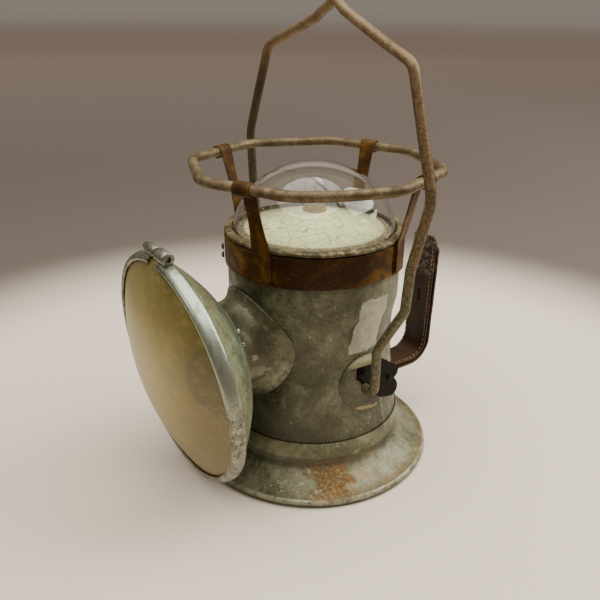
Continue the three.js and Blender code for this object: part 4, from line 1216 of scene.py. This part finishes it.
# ---- leather grip -------------------------------------------------------------------------------------------
GRIP_WIDTH, LEATHER, CORE = 20.0, 1.5, 1.0
GRIP_FLOOR, GRIP_TOE, GRIP_BEND = 34.0, 92.2, 14.0
GRIP_TOP_REACH, GRIP_TOP = 94.2, 121.5
LAYER = CORE / 2 + 0.3 + LEATHER / 2
SLIT_LOW, SLIT_HIGH = 73, 82


def grip_line(offset, top, start=59.0):
    """The leather's middle line from the body, round the lower bend and up."""
    centre = (GRIP_TOE - GRIP_BEND, GRIP_FLOOR + GRIP_BEND)
    bend = arc(centre, GRIP_BEND + offset, -90, -1, 26)
    flat = [(start + (centre[0] - start) * i / 12, GRIP_FLOOR - offset) for i in range(12)]
    last, end = Vector(bend[-1]), Vector((GRIP_TOP_REACH + offset, top))
    rise = [tuple(last.lerp(end, i / 70)) for i in range(1, 71)]
    return flat + bend + rise


def make_leather(name, offset, top, corner):
    line = grip_line(offset, top)
    rows, columns = len(line), 20
    widths = []
    for reach, height in line:
        left = top - height if reach > GRIP_TOE - 2 else 99
        narrowed = corner - math.sqrt(max(corner**2 - max(corner - left, 0) ** 2, 0)) if left < corner else 0
        waver = 0.35 * noise.noise(Vector((height * 0.09, offset, 2)))
        widths.append(GRIP_WIDTH - 2 * narrowed + waver)

    def slit(i, k):
        return k in (9, 10) and SLIT_LOW < line[i][1] < SLIT_HIGH and line[i][0] > GRIP_TOE - 2

    mesh = strip_solid(name, line, widths, LEATHER, slit, columns)
    for v in mesh.vertices:
        bulge = noise.noise(v.co / (9 * MM)) * 0.16 * MM
        v.co.y += bulge
    made = piece(name, mesh, "leather", "case", [name.replace("strap", "grip_leather")])
    bevelled(made, 0.45, 3, 50)
    return line


def make_stitches(name, offset, top, side):
    """A row of waxed thread stitches standing just proud of one face of the grip, along both edges."""
    line = grip_line(offset + side * (LEATHER / 2 + 0.12), top - 3)
    builder = bmesh.new()
    travelled, last = 0.0, Vector(line[0])
    for before, after in zip(line, line[1:]):
        step = (Vector(after) - Vector(before)).length
        travelled += step
        if travelled < 2.9:
            continue
        travelled = 0.0
        along = (Vector(after) - Vector(before)).normalized() * 1.0
        for across in (-8.6, 8.6):
            middle = Vector(after)
            path = [
                Vector((across, *(middle - along))), Vector((across, *middle)), Vector((across, *(middle + along))),
            ]
            lift = Vector((0, along.y, -along.x)).normalized() * side
            path[1] += lift * 0.12
            builder.from_mesh(tube("stitch", metres(path), 0.34 * MM, 8))
    mesh = bpy.data.meshes.new(name)
    builder.to_mesh(mesh)
    builder.free()
    piece(name, mesh, "thread", "case")


make_leather("strap_inner", -LAYER, GRIP_TOP, 2.5)
make_leather("strap_outer", LAYER, GRIP_TOP - 4, 6.0)
make_stitches("stitches_inner", -LAYER, GRIP_TOP, -1)
make_stitches("stitches_outer", LAYER, GRIP_TOP - 4, 1)


# ---- small details ------------------------------------------------------------------------------------------
def blob(name, centre, radius, look, body, squash=(1, 1, 1), seed=0.0):
    """A lumpy drop of solder."""
    builder = bmesh.new()
    bmesh.ops.create_icosphere(builder, subdivisions=3, radius=radius * MM)
    for v in builder.verts:
        v.co *= 1 + 0.25 * noise.noise(v.co / (radius * MM) + Vector((seed, seed, 0)))
        v.co = Vector((v.co.x * squash[0], v.co.y * squash[1], v.co.z * squash[2])) + centre * MM
    mesh = bpy.data.meshes.new(name)
    builder.to_mesh(mesh)
    builder.free()
    piece(name, mesh, look, body)


for number, (degrees, size) in enumerate(((44, 1.3), (30, 0.9)), 1):
    where = BEAM @ (polar(30.4, degrees, 63.0) * MM)
    blob(f"solder_drip_{number}", where / MM, size, "solder", "case", (1, 1, 1.3), number)


# ---- stage --------------------------------------------------------------------------------------------------


def make_stage():
    """A flat floor, pale under the lantern, with a ring of painted shade round it and painted light further out that
    brings it up to the sky's brightness; the same on every side.
    """
    skin = Finish("stage_paper", roughness=0.9)
    radius = skin.node("ShaderNodeVectorMath", operation="LENGTH")
    skin.plug(radius.inputs[0], skin.place)
    far = radius.outputs["Value"]
    # Painted shade: a dark ring round the lantern, from 0.26 to 0.44 m out.
    grey = skin.mix(skin.span(far, 0.26, 0.44), srgb(225, 213, 197), srgb(94, 84, 76))
    # Painted light: lighter again from 0.6 to 3.5 m, then near white out to 14 m, so the far floor meets the sky.
    grey = skin.mix(skin.span(far, 0.6, 3.5), grey, srgb(220, 205, 192))
    skin.set(Base_Color=skin.mix(skin.span(far, 3.5, 14), grey, srgb(251, 250, 250)))
    half = 40.0
    mesh = bpy.data.meshes.new("floor")
    mesh.from_pydata([(-half, -half, 0), (half, -half, 0), (half, half, 0), (-half, half, 0)], [], [(0, 1, 2, 3)])
    mesh.materials.append(skin.material)
    floor = bpy.data.objects.new("floor", mesh)
    bpy.context.scene.collection.objects.link(floor)


def area_light(name, right, forward, height, size, power, colour=(1, 1, 1), aim=(0, 0, 0.1)):
    """A soft round light placed from the camera's side: right, forward and height in metres."""
    data = bpy.data.lights.new(name, "AREA")
    data.shape, data.size, data.size_y = "ELLIPSE", size[0], size[1]
    data.energy, data.color = power, colour
    light = bpy.data.objects.new(name, data)
    turn = Matrix.Rotation(VIEW_AZIMUTH, 3, "Z")
    light.location = turn @ Vector((right, forward, height))
    light.rotation_euler = (Vector(aim) - light.location).to_track_quat("-Z", "Y").to_euler()
    light.visible_camera = False
    bpy.context.scene.collection.objects.link(light)


def make_light():
    world = bpy.data.worlds.new("world")
    bpy.context.scene.world = world
    world.use_nodes = True
    background = world.node_tree.nodes["Background"]
    background.inputs["Color"].default_value = srgb(222, 207, 192)
    background.inputs["Strength"].default_value = 0.33
    area_light("window", 0.9, 0.2, 0.9, (1.0, 1.0), 17, (1.0, 0.97, 0.91))
    area_light("ceiling", -0.1, -0.1, 1.4, (1.8, 1.8), 31, (1.0, 0.97, 0.9))
    area_light("lamp", -0.7, -0.35, 0.55, (0.26, 0.26), 0.7, (1.0, 0.97, 0.9))


make_stage()
make_light()
